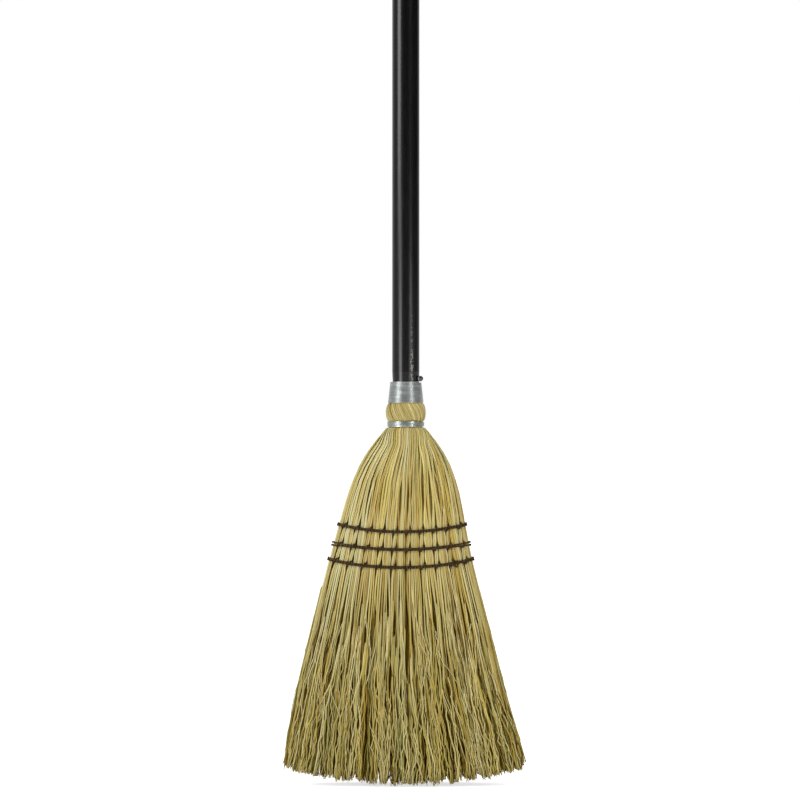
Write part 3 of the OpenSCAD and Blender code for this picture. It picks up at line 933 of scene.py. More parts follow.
@dataclass
class SewingPattern:
    """Places of the stitches across a face, in millimetres and shares of the half width."""

    head: HeadShape
    stitches: int = 10
    reach_share: float = 0.9
    slant_w: float = 3.4
    slant_h: float = 5.6

    def stitch_u(self) -> Array:
        """Middle of each stitch, as a share of the half width."""
        return self.reach_share * (2 * np.arange(self.stitches) / (self.stitches - 1) - 1)

    def holes(self, face: Face) -> list[tuple[int, float, float, int]]:
        """Holes that the stitches pull open.

        Args:
            face: Front or back.

        Returns:
            Row, share of the half width, height and direction, 1 above its row and -1 below it.
        """
        found = []
        for row in range(self.head.seam_rows):
            half_w = float(self.head.half_w(np.array(self.head.seam_z[row])))
            for u in self.stitch_u():
                z = float(self.head.seam_height(row, u))
                for way in (-1, 1):
                    found.append((row, u - face.value * way * self.slant_w / 2 / half_w, z, way))
        return found


@dataclass(frozen=True)
class StitchPull:
    """How the sewing moves the straw beside it, in millimetres."""

    row_sink: float = 0.4
    row_sink_h: float = 3.0
    hole_sink: float = 0.5
    hole_sink_w: float = 1.6
    hole_sink_h: float = 6.0
    part: Range = (0.3, 0.62)
    part_w: float = 3.2
    part_edge: float = 0.5
    back_h: float = 3.0
    fade_h: float = 12.0
    open_fade_h: Range = (10.0, 34.0)
    notch: float = 0.55
    notch_h: float = 2.2


@dataclass(frozen=True)
class StalkHabit:
    """How whole stalks lie, drift and thin out, in millimetres and shares."""

    width: float = 1.45
    width_spread: float = 0.3
    count_jitter: float = 0.4
    under_count: int = 52
    under_spread: float = 0.27
    sides: int = 6
    under_sides: int = 5
    neck_rings: tuple[float, ...] = (4.0, 0.5)
    bulge_rings: tuple[float, ...] = (0.04, 0.1, 0.2, 0.35, 0.5, 0.65, 0.8, 0.9, 0.96)
    shoulder_rings: tuple[float, ...] = (1.5, 4.0, 8.0, 14.0, 22.0, 32.0, 43.0, 54.0, 64.0, 72.0)
    seam_above: float = 7.0
    seam_below: float = 5.0
    seam_step: float = 3.6
    fray_rings: int = 9
    fray_low: float = 66.0
    fray_span: float = 92.0
    fray_odds: Range = (1.8, 1.5)
    fray_tail: float = 14.0
    fray_above: float = 20.0
    fray_h: float = 34.0
    fray_width_loss: float = 0.75
    fall_above: float = 26.0
    fall_h: float = 40.0
    fall_most: float = 1.6
    loosen_h: float = 45.0
    drift: float = 0.75
    drift_run: Range = (9.0, 24.0)
    drift_phase: float = 6.28
    drift_edge_loss: float = 0.85
    fan_drift: float = 1.2
    fan_top_h: float = 30.0
    fan_foot_h: float = 24.0
    bunches: int = 30
    bunch_share: float = 0.22
    reach_share: float = 0.992
    sink_h: float = 75.0
    open_room: float = 9.0
    room_share: float = 0.3
    neck_width: float = 0.87
    sewn_width_gain: float = 0.11
    sewn_width_h: float = 60.0
    loose_width_loss: float = 0.26
    flat_share: float = 0.5
    ranks: tuple[int, ...] = (0, 2, 1)
    odd_rank_share: float = 0.25
    rank_drop: float = 0.6
    rank_room_share: float = 0.5
    neck_rank_share: float = 0.6
    proud: float = 0.2
    twist_deg: float = 25.0
    twist_run: float = 45.0
    twist_reach: Range = (-0.25, 1.2)


@dataclass(frozen=True)
class StalkTones:
    """Tones of whole stalks, from 0 to 1, and the heights in millimetres where they change."""

    middle: float = 0.43
    spread: float = 0.25
    limits: Range = (0.02, 0.88)
    # Painted light: stalks are painted paler towards the top of the shoulders, and a little at the neck,
    # as if lit from above.
    pale: float = 0.16
    pale_z: float = 235.0
    pale_h: float = 40.0
    neck_pale: float = 0.25
    # Painted shade: the layers underneath are painted darker, more so below deep_z, and stalks set back
    # behind their neighbours are painted a little darker.
    heart: float = 0.36
    deep_z: float = 190.0
    deep_h: float = 45.0
    rank_shade: float = 0.03
    edge_shade: float = 0.4
    gold: float = 0.42
    gold_spread: float = 0.13
    golden_u: tuple[float, ...] = (-0.32, 0.34, 0.74)
    golden_w: float = 0.1
    golden_gain: float = 0.35
    # Painted shade: the layers underneath are also painted more golden, for warmer shade in the gaps.
    layer_gold: float = 0.3
    shoulder_gold: float = 0.18
    shoulder_rise: float = 6.0
    shoulder_h: float = 10.0


@dataclass(frozen=True)
class FibreHabit:
    """How frayed fibres spread, bend and thin out, in millimetres and shares of their length."""

    per_stalk: int = 4
    rings: int = 24
    coarse_rings: int = 16
    sides: int = 4
    start_rise: float = 26.0
    lane_jitter: float = 0.4
    tip_spread: float = 0.95
    lean: float = 0.02
    lean_sizes: Range = (1.0, 3.0)
    lean_odds: Range = (0.7, 0.3)
    reach_share: float = 0.995
    outside_share: float = 1.018
    clumps: int = 36
    clump_jitter: float = 0.4
    clump_share: float = 0.45
    open_h: float = 60.0
    stalk_share: float = 0.36
    side_kink: float = 1.6
    depth_kink: float = 0.8
    tuft_from: float = 0.8
    lie_shape: float = 1.5
    skin: float = 0.6
    half_w: float = 0.64
    tip_half_w: float = 0.46
    width_range: Range = (0.6, 1.3)
    root_share: float = 0.55
    root_to: float = 0.1
    point_loss: float = 0.4
    point_from: float = 0.92
    flat_share: float = 0.75


@dataclass(frozen=True)
class FibreTones:
    """Tones of frayed fibres, from 0 to 1, and the heights in millimetres where they change."""

    middle: float = 0.68
    stalk_spread: float = 0.18
    spread: float = 0.28
    # Painted shade: fibres that lie deeper are painted darker.
    lie_loss: float = 0.13
    # Painted light: fibres are painted paler towards the tips at the foot.
    painted_tip_light: float = 0.1
    painted_tip_light_z: float = 70.0
    layer_shade: float = 0.82
    lie_shade: float = 0.26
    open_light: float = 0.16
    tip_light: float = 0.2
    tip_light_z: float = 60.0
    gold_spread: float = 0.1
    edge_shade: float = 0.35


@dataclass(frozen=True)
class StrayHabit:
    """A few thin pale fibres that cross the others, in millimetres and shares."""

    count: int = 44
    rings: int = 12
    sides: int = 4
    start_z: Range = (50.0, 140.0)
    length: Range = (18.0, 60.0)
    foot_z: float = 14.0
    lean: float = 6.0
    start_u: float = 0.9
    reach_share: float = 0.98
    kink: float = 0.8
    sink: float = 0.4
    arch: float = 0.9
    arch_range: Range = (0.2, 1.0)
    half_w: float = 0.3
    taper: float = 0.12
    tone: float = 0.95
    gold: float = 0.5


@dataclass
class CoverStraw:
    """One face's cover: whole stalks from the neck through the seams, frayed into fibres below."""

    head: HeadShape
    sewing: SewingPattern
    face: Face
    seed: int
    pull: StitchPull = StitchPull()
    stalks: StalkHabit = StalkHabit()
    stalk_tones: StalkTones = StalkTones()
    fibres: FibreHabit = FibreHabit()
    fibre_tones: FibreTones = FibreTones()
    strays: StrayHabit = StrayHabit()
    under_layers: int = 2
    layer_drop: float = 1.9
    loose_drop: float = 1.2

    def __post_init__(self) -> None:
        """Starts the mesh and the source of chance."""
        self.rng = np.random.default_rng(self.seed)
        self.mesh = StrandMesh()

    def goldness(self, u: Array) -> Array:
        """How golden stalks are, from 0 to 1: lots of golden straw lie among greyer ones.

        Args:
            u: Shares of the half width.

        Returns:
            One value per stalk.
        """
        tones = self.stalk_tones
        near = sum(np.exp(-((u - centre) / tones.golden_w) ** 2) for centre in tones.golden_u)
        chance = self.rng.normal(0, tones.gold_spread, len(u))
        return np.clip(tones.gold + tones.golden_gain * near + chance, 0, 1)

    def panel_layout(self) -> tuple[Array, Array]:
        """Fills the panels between the stitch holes with stalks of mixed widths.

        Returns:
            Shares of the half width, and widths at the seams in millimetres.
        """
        habit = self.stalks
        half_w = float(self.head.half_w(np.array(self.head.seam_z[1])))
        lines = sorted({round(hole[1], 4) for hole in self.sewing.holes(self.face) if hole[0] == 1})
        bounds = [-1.0, *lines, 1.0]
        places: list[float] = []
        widths: list[float] = []
        for low, high in zip(bounds[:-1], bounds[1:]):
            jitter = self.rng.uniform(-habit.count_jitter, habit.count_jitter)
            count = max(1, round((high - low) * half_w / habit.width + jitter))
            shares = self.rng.lognormal(0.0, habit.width_spread, count)
            cuts = low + (high - low) * np.concatenate([[0.0], np.cumsum(shares)]) / shares.sum()
            places.extend((cuts[:-1] + cuts[1:]) / 2)
            widths.extend(np.diff(cuts) * half_w)
        return np.array(places), np.array(widths)

    def even_layout(self) -> tuple[Array, Array]:
        """Sets the stalks of a layer underneath side by side.

        Returns:
            Shares of the half width, and widths at the seams in millimetres.
        """
        shares = self.rng.lognormal(0.0, self.stalks.under_spread, self.stalks.under_count)
        cuts = 2 * np.concatenate([[0.0], np.cumsum(shares)]) / shares.sum() - 1
        half_w = float(self.head.half_w(np.array(self.head.seam_z[1])))
        return (cuts[:-1] + cuts[1:]) / 2, np.diff(cuts) * half_w

    def gather(self, u: Array, z: Array) -> tuple[Array, Array]:
        """How the sewing moves straw: apart at the holes and in under the twine.

        Args:
            u: Shares of the half width.
            z: Heights.

        Returns:
            Shifts of u and extra depths.
        """
        pull = self.pull
        half_w = self.head.half_w(z)
        shift = np.zeros_like(u)
        depth = np.zeros_like(u)
        for row in range(self.head.seam_rows):
            off = z - self.head.seam_height(row, u)
            depth += pull.row_sink * np.exp(-(off / pull.row_sink_h) ** 2)
        chance = np.random.default_rng(self.seed)
        for row, hole_u, hole_z, way in self.sewing.holes(self.face):
            across = (u - hole_u) * half_w
            up = (z - hole_z) * way
            open_end = way > 0 and row == 0 or way < 0 and row == self.head.seam_rows - 1
            fade = chance.uniform(*pull.open_fade_h) if open_end else pull.fade_h
            reach = np.where(up > 0, np.exp(-up / fade), np.exp(-(up / pull.back_h) ** 2))
            near = np.exp(-(across / pull.part_w) ** 2)
            notch = pull.notch * np.exp(-((up - self.sewing.slant_h / 2) / pull.notch_h) ** 2)
            part = chance.uniform(*pull.part) * reach + notch
            shift += part * np.tanh(across / pull.part_edge) * near / half_w
            sink = np.exp(-(across / pull.hole_sink_w) ** 2) * np.exp(-(up / pull.hole_sink_h) ** 2)
            depth += pull.hole_sink * sink
        return shift, depth

    def stalk_levels(self, fray_z: Array, layer: int) -> Array:
        """Heights of the rings of whole stalks.

        Args:
            fray_z: Heights where the stalks fray.
            layer: 0 for the outside, and more for the layers under it.

        Returns:
            Heights, one row per stalk.
        """
        head = self.head
        habit = self.stalks
        bulge = head.neck_foot_z - head.band_top_z
        neck = [head.butt_z, *(head.neck_foot_z + rise for rise in habit.neck_rings)]
        neck += [head.neck_foot_z - bulge * t for t in habit.bulge_rings]
        neck += [head.band_top_z, (head.band_top_z + head.band_z) / 2, head.band_z]
        shoulder = [head.band_z - drop for drop in habit.shoulder_rings]
        sewn_top = head.seam_z[0] + habit.seam_above
        sewn_foot = head.seam_z[-1] - habit.seam_below
        seams = np.arange(sewn_top, sewn_foot, -habit.seam_step).tolist()
        innermost = layer == self.under_layers
        fixed = np.array(shoulder[1:] + seams[::2] if innermost else neck + shoulder + seams)
        low = np.linspace(0, 1, habit.fray_rings + 1)[1:]
        foot = fixed[-1] + (fray_z[:, None] - habit.fray_tail - fixed[-1]) * low
        return np.concatenate([np.broadcast_to(fixed, (len(fray_z), len(fixed))), foot], axis=1)

    def wander(self, u0: Array, z: Array, loose: Array) -> Array:
        """Lets stalks drift over the shoulders, and drift and bunch below the seams.

        Args:
            u0: Each stalk's share of the half width.
            z: Heights of the stalks' rings.
            loose: How loose the rings lie, from 0 at the seams to 1 below them.

        Returns:
            Shares of the half width at the rings.
        """
        head = self.head
        habit = self.stalks
        count = len(u0)
        drift = self.rng.normal(0, habit.drift, count)[:, None] * np.sin(
            (head.band_z - z) / self.rng.uniform(*habit.drift_run, count)[:, None]
            + self.rng.uniform(0, habit.drift_phase, count)[:, None])
        fan = eased((head.band_z - z) / habit.fan_top_h) * eased((z - head.seam_z[0]) / habit.fan_foot_h)
        drift *= (1 - habit.drift_edge_loss * np.abs(u0) ** 6)[:, None]
        centres = (np.arange(habit.bunches) + self.rng.random(habit.bunches)) * 2 / habit.bunches - 1
        nearest = centres[np.abs(u0[:, None] - centres[None, :]).argmin(axis=1)]
        bunched = habit.bunch_share * (nearest - u0)[:, None] * loose
        return u0[:, None] + bunched + drift * (loose + habit.fan_drift * fan) / head.half_w(z)

    def stalk_grain(self, u0: Array, z: Array, layer: int, ranks_in: Array) -> tuple[Array, Array]:
        """Tones of whole stalks.

        Args:
            u0: Each stalk's share of the half width.
            z: Heights of the stalks' rings.
            layer: 0 for the outside, and more for the layers under it.
            ranks_in: How many ranks the rings lie behind the front one.

        Returns:
            Tone, run, shade and gold at the rings, and each stalk's own gold.
        """
        head = self.head
        tones = self.stalk_tones
        tone = np.clip(self.rng.normal(tones.middle, tones.spread, len(u0)), *tones.limits)[:, None]
        # Painted light from above on the tops of the shoulders.
        top = np.where(z < head.band_z, eased((z - tones.pale_z) / tones.pale_h), tones.neck_pale)
        tone = tone + tones.pale * top
        run = head.fibre_run(z, head.fibre_z)
        # Painted shade on the layers underneath and on stalks that are set back; those layers are painted
        # more golden too.
        heart = tones.heart + (1 - tones.heart) * eased((tones.deep_z - z) / tones.deep_h)
        shade = np.clip(heart * layer + tones.rank_shade * ranks_in, 0, 1)
        gold = np.clip(self.goldness(u0) + tones.layer_gold * layer, 0, 1)
        above_rows = eased((z - head.seam_z[0] - tones.shoulder_rise) / tones.shoulder_h)
        above_rows = np.where(z < head.band_z, above_rows, 0)
        lot = np.clip(gold[:, None] + tones.shoulder_gold * above_rows, 0, 1)
        return np.stack(np.broadcast_arrays(tone, run, shade, lot), axis=-1), gold

    def stalk_batch(self, layer: int) -> tuple[Array, Array, Array, Array]:
        """Adds one layer of whole stalks.

        Args:
            layer: 0 for the outside, and more for the layers under it.

        Returns:
            Each stalk's share of the half width, its width, the height where it frays and its gold.
        """
        head = self.head
        habit = self.stalks
        u0, widths = self.even_layout() if layer else self.panel_layout()
        count = len(u0)
        fray_z = habit.fray_low + habit.fray_span * self.rng.beta(*habit.fray_odds, count)
        z = self.stalk_levels(fray_z, layer)
        rank = np.array(habit.ranks)[np.arange(count) % len(habit.ranks)]
        odd = self.rng.random(count) < habit.odd_rank_share
        rank = np.where(odd, self.rng.integers(0, len(habit.ranks), count), rank)[:, None]
        loose = eased((head.seam_z[-1] - z) / habit.loosen_h)
        u = self.wander(u0, z, loose)
        shift, pulled = self.gather(u, z)
        u = np.clip(u + shift, -habit.reach_share, habit.reach_share)
        sunk = eased((head.band_z - z) / habit.sink_h)
        neck_room = head.neck_r(z) - head.handle_r(z) - head.soft_gap
        room = np.where(z > head.band_z, neck_room, habit.open_room)
        sewn = eased((head.band_z - z) / habit.sewn_width_h)
        profile = habit.neck_width + habit.sewn_width_gain * sewn - habit.loose_width_loss * loose
        frayed = eased((fray_z[:, None] + habit.fray_above - z) / habit.fray_h)
        half_width = widths[:, None] / 2 * profile * (1 - habit.fray_width_loss * frayed)
        half_depth = np.minimum(half_width * habit.flat_share, room * habit.room_share)
        ranks_in = rank * habit.rank_drop * np.where(z > head.band_z, habit.neck_rank_share, 1 - sunk)
        proud = self.rng.normal(0, habit.proud, count)[:, None]
        fall = eased((fray_z[:, None] + habit.fall_above - z) / habit.fall_h)
        fall = fall * self.rng.uniform(0, habit.fall_most, count)[:, None]
        ranks_in = np.minimum(ranks_in, room * habit.rank_room_share)
        depth = half_depth + ranks_in + pulled + proud * sunk + fall
        depth += layer * (self.layer_drop + self.loose_drop * loose)
        climb = (z - head.band_top_z) / (head.neck_foot_z - head.band_top_z)
        straight = eased((head.band_z - z) / habit.twist_run)
        twist = -math.radians(habit.twist_deg) * np.clip(climb, *habit.twist_reach) * (1 - straight)
        points, outward = head.place(u, z, depth, self.face, twist)
        grain, gold = self.stalk_grain(u0, z, layer, rank * (1 - sunk))
        sides = habit.under_sides if layer else habit.sides
        self.mesh.add(
            points, outward, half_width, half_depth, grain, sides=sides,
            edge_shade=self.stalk_tones.edge_shade)
        return u[:, -1], widths, fray_z, gold

    def fibre_ends(self, u0: Array, lane: Array, width: Array) -> tuple[Array, Array, Array]:
        """Where fibres spread to, in clumps that end in tufts.

        Args:
            u0: The share of the half width where each fibre starts.
            lane: Each fibre's place across its stalk, from -1 to 1.
            width: Width of each fibre's stalk.

        Returns:
            Shares of the half width once spread, places of the tips and heights of the tips.
        """
        head = self.head
        habit = self.fibres
        count = len(u0)
        spread = width / head.tips_half_w * habit.tip_spread
        lean = self.rng.normal(0, habit.lean, count)
        lean = lean * self.rng.choice(habit.lean_sizes, count, p=habit.lean_odds)
        target_u = np.clip(u0 + lane * spread + lean, -habit.reach_share, habit.reach_share)
        jitter = self.rng.uniform(-habit.clump_jitter, habit.clump_jitter, habit.clumps)
        centres = np.linspace(-1, 1, habit.clumps) + jitter / habit.clumps
        nearest = centres[np.abs(target_u[:, None] - centres[None, :]).argmin(axis=1)]
        target_u += habit.clump_share * (nearest - target_u)
        tip_x, tip_z = TuftTrim(head).trim(target_u * head.tips_half_w, self.rng)
        return target_u, tip_x, tip_z

    def fibre_grain(self, z: Array, layer: int, lie: Array, gold: Array) -> Array:
        """Tones of frayed fibres.

        Args:
            z: Heights of the fibres' rings.
            layer: 0 for the outside, and more for the layers under it.
            lie: How deep each fibre lies.
            gold: How golden the stalks are.

        Returns:
            Tone, run, shade and gold at the rings.
        """
        tones = self.fibre_tones
        each = self.fibres.per_stalk
        tone = np.repeat(self.rng.normal(tones.middle, tones.stalk_spread, len(gold)), each)
        tone = tone + self.rng.normal(0, tones.spread, len(z))
        # Painted light: paler towards the foot.
        painted_tip_light = tones.painted_tip_light * eased((tones.painted_tip_light_z - z) / tones.painted_tip_light_z)
        # Painted shade: deeper-lying fibres are painted darker.
        tone = np.clip(tone[:, None] - tones.lie_loss * lie + painted_tip_light, 0, 1)
        run = self.head.fibre_run(z, self.head.fibre_z)
        tip_light = tones.tip_light * eased((tones.tip_light_z - z) / tones.tip_light_z)
        shade = tones.layer_shade * layer + tones.lie_shade * lie - tones.open_light - tip_light
        shade = np.clip(shade, 0, 1)
        lot = np.clip(np.repeat(gold, each) + self.rng.normal(0, tones.gold_spread, len(z)), 0, 1)
        return np.stack(np.broadcast_arrays(tone, run, shade, lot[:, None]), axis=-1)

    def fibre_batch(self, layer: int, stalk_u: Array, widths: Array, fray_z: Array, gold: Array) -> None:
        """Adds the frayed fibres of one layer's stalks.

        Args:
            layer: 0 for the outside, and more for the layers under it.
            stalk_u: Each stalk's share of the half width.
            widths: Widths of the stalks.
            fray_z: Heights where the stalks fray.
            gold: How golden the stalks are.
        """
        head = self.head
        habit = self.fibres
        each = habit.per_stalk
        rings = habit.rings
        count = len(stalk_u) * each
        u0 = np.repeat(stalk_u, each)
        width = np.repeat(widths, each)
        start_z = np.repeat(fray_z, each) + self.rng.uniform(0, habit.start_rise, count)
        jitter = self.rng.uniform(-habit.lane_jitter, habit.lane_jitter, count)
        lane = (np.tile(np.arange(each), len(stalk_u)) + jitter) / (each - 1) * 2 - 1
        target_u, tip_x, tip_z = self.fibre_ends(u0, lane, width)
        t = np.linspace(0, 1, rings)[None, :]
        z = start_z[:, None] + (tip_z - start_z)[:, None] * t
        half_w = head.half_w(z)
        open_t = eased((start_z[:, None] - z) / habit.open_h)
        inside = lane[:, None] * habit.stalk_share * width[:, None]
        u = u0[:, None] + inside / half_w * (1 - open_t) + (target_u - u0)[:, None] * open_t
        u += kinks(self.rng, count, rings, habit.side_kink) * open_t / half_w
        in_tuft = eased((t - habit.tuft_from) / (1 - habit.tuft_from))
        u += (tip_x / head.tips_half_w - target_u)[:, None] * in_tuft
        lie = self.rng.gamma(habit.lie_shape, size=count)[:, None]
        wave = np.abs(kinks(self.rng, count, rings, habit.depth_kink))
        depth = habit.skin + layer * (self.layer_drop + self.loose_drop) + (lie + wave) * open_t
        half_width = habit.half_w + (habit.tip_half_w - habit.half_w) * t
        half_width = half_width * self.rng.uniform(*habit.width_range, count)[:, None]
        half_width = half_width * (habit.root_share + (1 - habit.root_share) * eased(t / habit.root_to))
        at_point = eased((t - habit.point_from) / (1 - habit.point_from))
        half_width = half_width * (1 - habit.point_loss * at_point)
        points, outward = head.place(
            np.clip(u, -habit.outside_share, habit.outside_share), z, depth, self.face)
        grain = self.fibre_grain(z, layer, lie, gold)
        # The layers underneath keep every second ring of their upper part: they hardly show there.
        coarse = habit.coarse_rings if layer else 0
        kept = np.concatenate([np.arange(0, coarse, 2), np.arange(coarse, rings)])
        half_width = half_width[:, kept]
        self.mesh.add(
            points[:, kept], outward[:, kept], half_width, half_width * habit.flat_share, grain[:, kept],
            sides=habit.sides, edge_shade=self.fibre_tones.edge_shade)

    def stray_batch(self) -> None:
        """Adds a few thin pale fibres that cross the others."""
        head = self.head
        habit = self.strays
        count = habit.count
        t = np.linspace(0, 1, habit.rings)[None, :]
        start_z = self.rng.uniform(*habit.start_z, count)[:, None]
        length = np.minimum(self.rng.uniform(*habit.length, count)[:, None], start_z - habit.foot_z)
        z = start_z - t * length
        lean = self.rng.normal(0, habit.lean, count)[:, None]
        start_u = self.rng.uniform(-habit.start_u, habit.start_u, count)[:, None]
        u = start_u + (lean * t + kinks(self.rng, count, habit.rings, habit.kink)) / head.half_w(z)
        arch = habit.arch * np.sin(math.pi * t) * self.rng.uniform(*habit.arch_range, count)[:, None]
        points, outward = head.place(
            np.clip(u, -habit.reach_share, habit.reach_share), z, habit.sink - arch, self.face)
        half_width = np.broadcast_to(habit.half_w - habit.taper * t, z.shape)
        run = head.fibre_run(z, head.inner_fibre_z)
        grain = np.stack(np.broadcast_arrays(habit.tone, run, 0.0, habit.gold), axis=-1)
        self.mesh.add(points, outward, half_width, half_width, grain, sides=habit.sides)

    def build(self, material: Material) -> Object:
        """Builds and dresses the cover.

        Args:
            material: The straw's finish.

        Returns:
            The piece.
        """
        for layer in range(self.under_layers + 1):
            stalk_u, widths, fray_z, gold = self.stalk_batch(layer)
            self.fibre_batch(layer, stalk_u, widths, fray_z, gold)
        self.stray_batch()
        word = self.face.name.lower()
        return add_piece(
            self.mesh.build(f"cover_stalks_{word}"), material, [f"cover_straw_{word}"])


@dataclass
class TuftTrim:
    """Gathers fibre tips into small pointed tufts along the trimmed arc."""

    head: HeadShape
    seed: int = 5
    tuft_w: float = 6.6
    ragged_h: float = 1.5
    lean_in: float = 0.4
    point_slope: float = 1.0
    raised: float = 0.0
    low_x: float = 2.0
    worn_share: float = 0.87
    jitter: float = 0.4
    ragged_power: float = 1.5
    loose_h: float = 0.25
    least_z: float = 0.3

    def trim(self, x: Array, rng: Chance) -> tuple[Array, Array]:
        """Cuts fibres to length.

        Args:
            x: Where the fibres would end.
            rng: Source of chance.

        Returns:
            Where the tips end, and their heights.
        """
        span = 2 * self.head.tips_half_w
        tufts = int(span / self.tuft_w)
        chance = np.random.default_rng(self.seed)
        middles = np.arange(tufts) + 0.5 + chance.uniform(-self.jitter, self.jitter, tufts)
        centres = middles * span / tufts - span / 2
        heights = self.ragged_h * chance.random(tufts) ** self.ragged_power
        nearest = np.abs(x[:, None] - centres[None, :]).argmin(axis=1)
        off = x - centres[nearest]
        tip_x = x - self.lean_in * off
        arc_z = self.worn_share * self.head.tip_z(tip_x - self.low_x) + self.raised
        tip_z = arc_z + heights[nearest] + self.point_slope * np.abs(off)
        return tip_x, np.maximum(tip_z + rng.exponential(self.loose_h, len(x)), self.least_z)


def kinks(
    rng: Chance, count: int, rings: int, size: float, step: float = 0.55, kept: float = 0.86
) -> Array:
    """Wandering offsets along strands, with a soft pull back to the middle.

    Args:
        rng: Source of chance.
        count: Number of strands.
        rings: Rings of a strand.
        size: Typical offset.
        step: Share of the size that one ring can add.
        kept: Share of the last ring's offset that the next one keeps.

    Returns:
        Offsets, count by rings, that start at 0.
    """
    steps = rng.normal(0, size * step, (count, rings))
    offsets = np.zeros((count, rings))
    for ring in range(1, rings):
        offsets[:, ring] = kept * offsets[:, ring - 1] + steps[:, ring]
    return offsets


@dataclass(frozen=True)
class InnerFibreHabit:
    """How the loose inner fibres lie and look, in millimetres, shares and tones."""

    rings: int = 14
    sides: int = 4
    through: float = 0.7
    start_z: Range = (120.0, 165.0)
    tip_rise: float = 1.0
    side_kink: float = 1.2
    depth_kink: float = 1.0
    kink_to: float = 0.5
    tuft_from: float = 0.8
    half_w: float = 0.6
    taper: float = 0.3
    width_range: Range = (0.8, 1.3)
    flat_share: float = 0.85
    tone: float = 0.45
    tone_spread: float = 0.2
    edge_light: float = 0.6
    face_light: float = 0.5
    most_shade: float = 0.8
    gold: Range = (0.3, 0.6)


@dataclass(frozen=True)
class EdgeStalkHabit:
    """How the whole stalks at the head's side lie and look, in millimetres, shares and tones."""

    rings: int = 24
    sides: int = 5
    through: float = 0.95
    through_spread: float = 0.04
    top_drop: float = 1.0
    foot_z: Range = (40.0, 110.0)
    outside_share: float = 0.976
    set_in: float = 0.03
    top_in: float = 0.01
    row_in: float = 0.006
    row_in_h: float = 3.0
    half_w: Range = (0.9, 1.4)
    point_loss: float = 0.75
    point_from: float = 0.8
    butt_share: float = 0.65
    butt_to: float = 0.16
    flat_share: float = 0.7
    tone: float = 0.5
    tone_spread: float = 0.18
    shade: float = 0.05
    edge_shade: float = 0.1
    gold: Range = (0.3, 0.6)


@dataclass(frozen=True)
class PackingHabit:
    """How the thick packed stalks in the heart lie and look, in millimetres, shares and tones."""

    rings: int = 12
    sides: int = 6
    reach_share: float = 0.84
    through: float = 0.4
    rows_through: int = 3
    top_drop: float = 32.0
    foot_z: Range = (48.0, 78.0)
    end_share: float = 0.4
    end_to: float = 0.1
    half_w_share: float = 0.7
    half_t_share: float = 0.24
    tone: float = 0.3
    shade: float = 1.0
    gold: float = 0.5


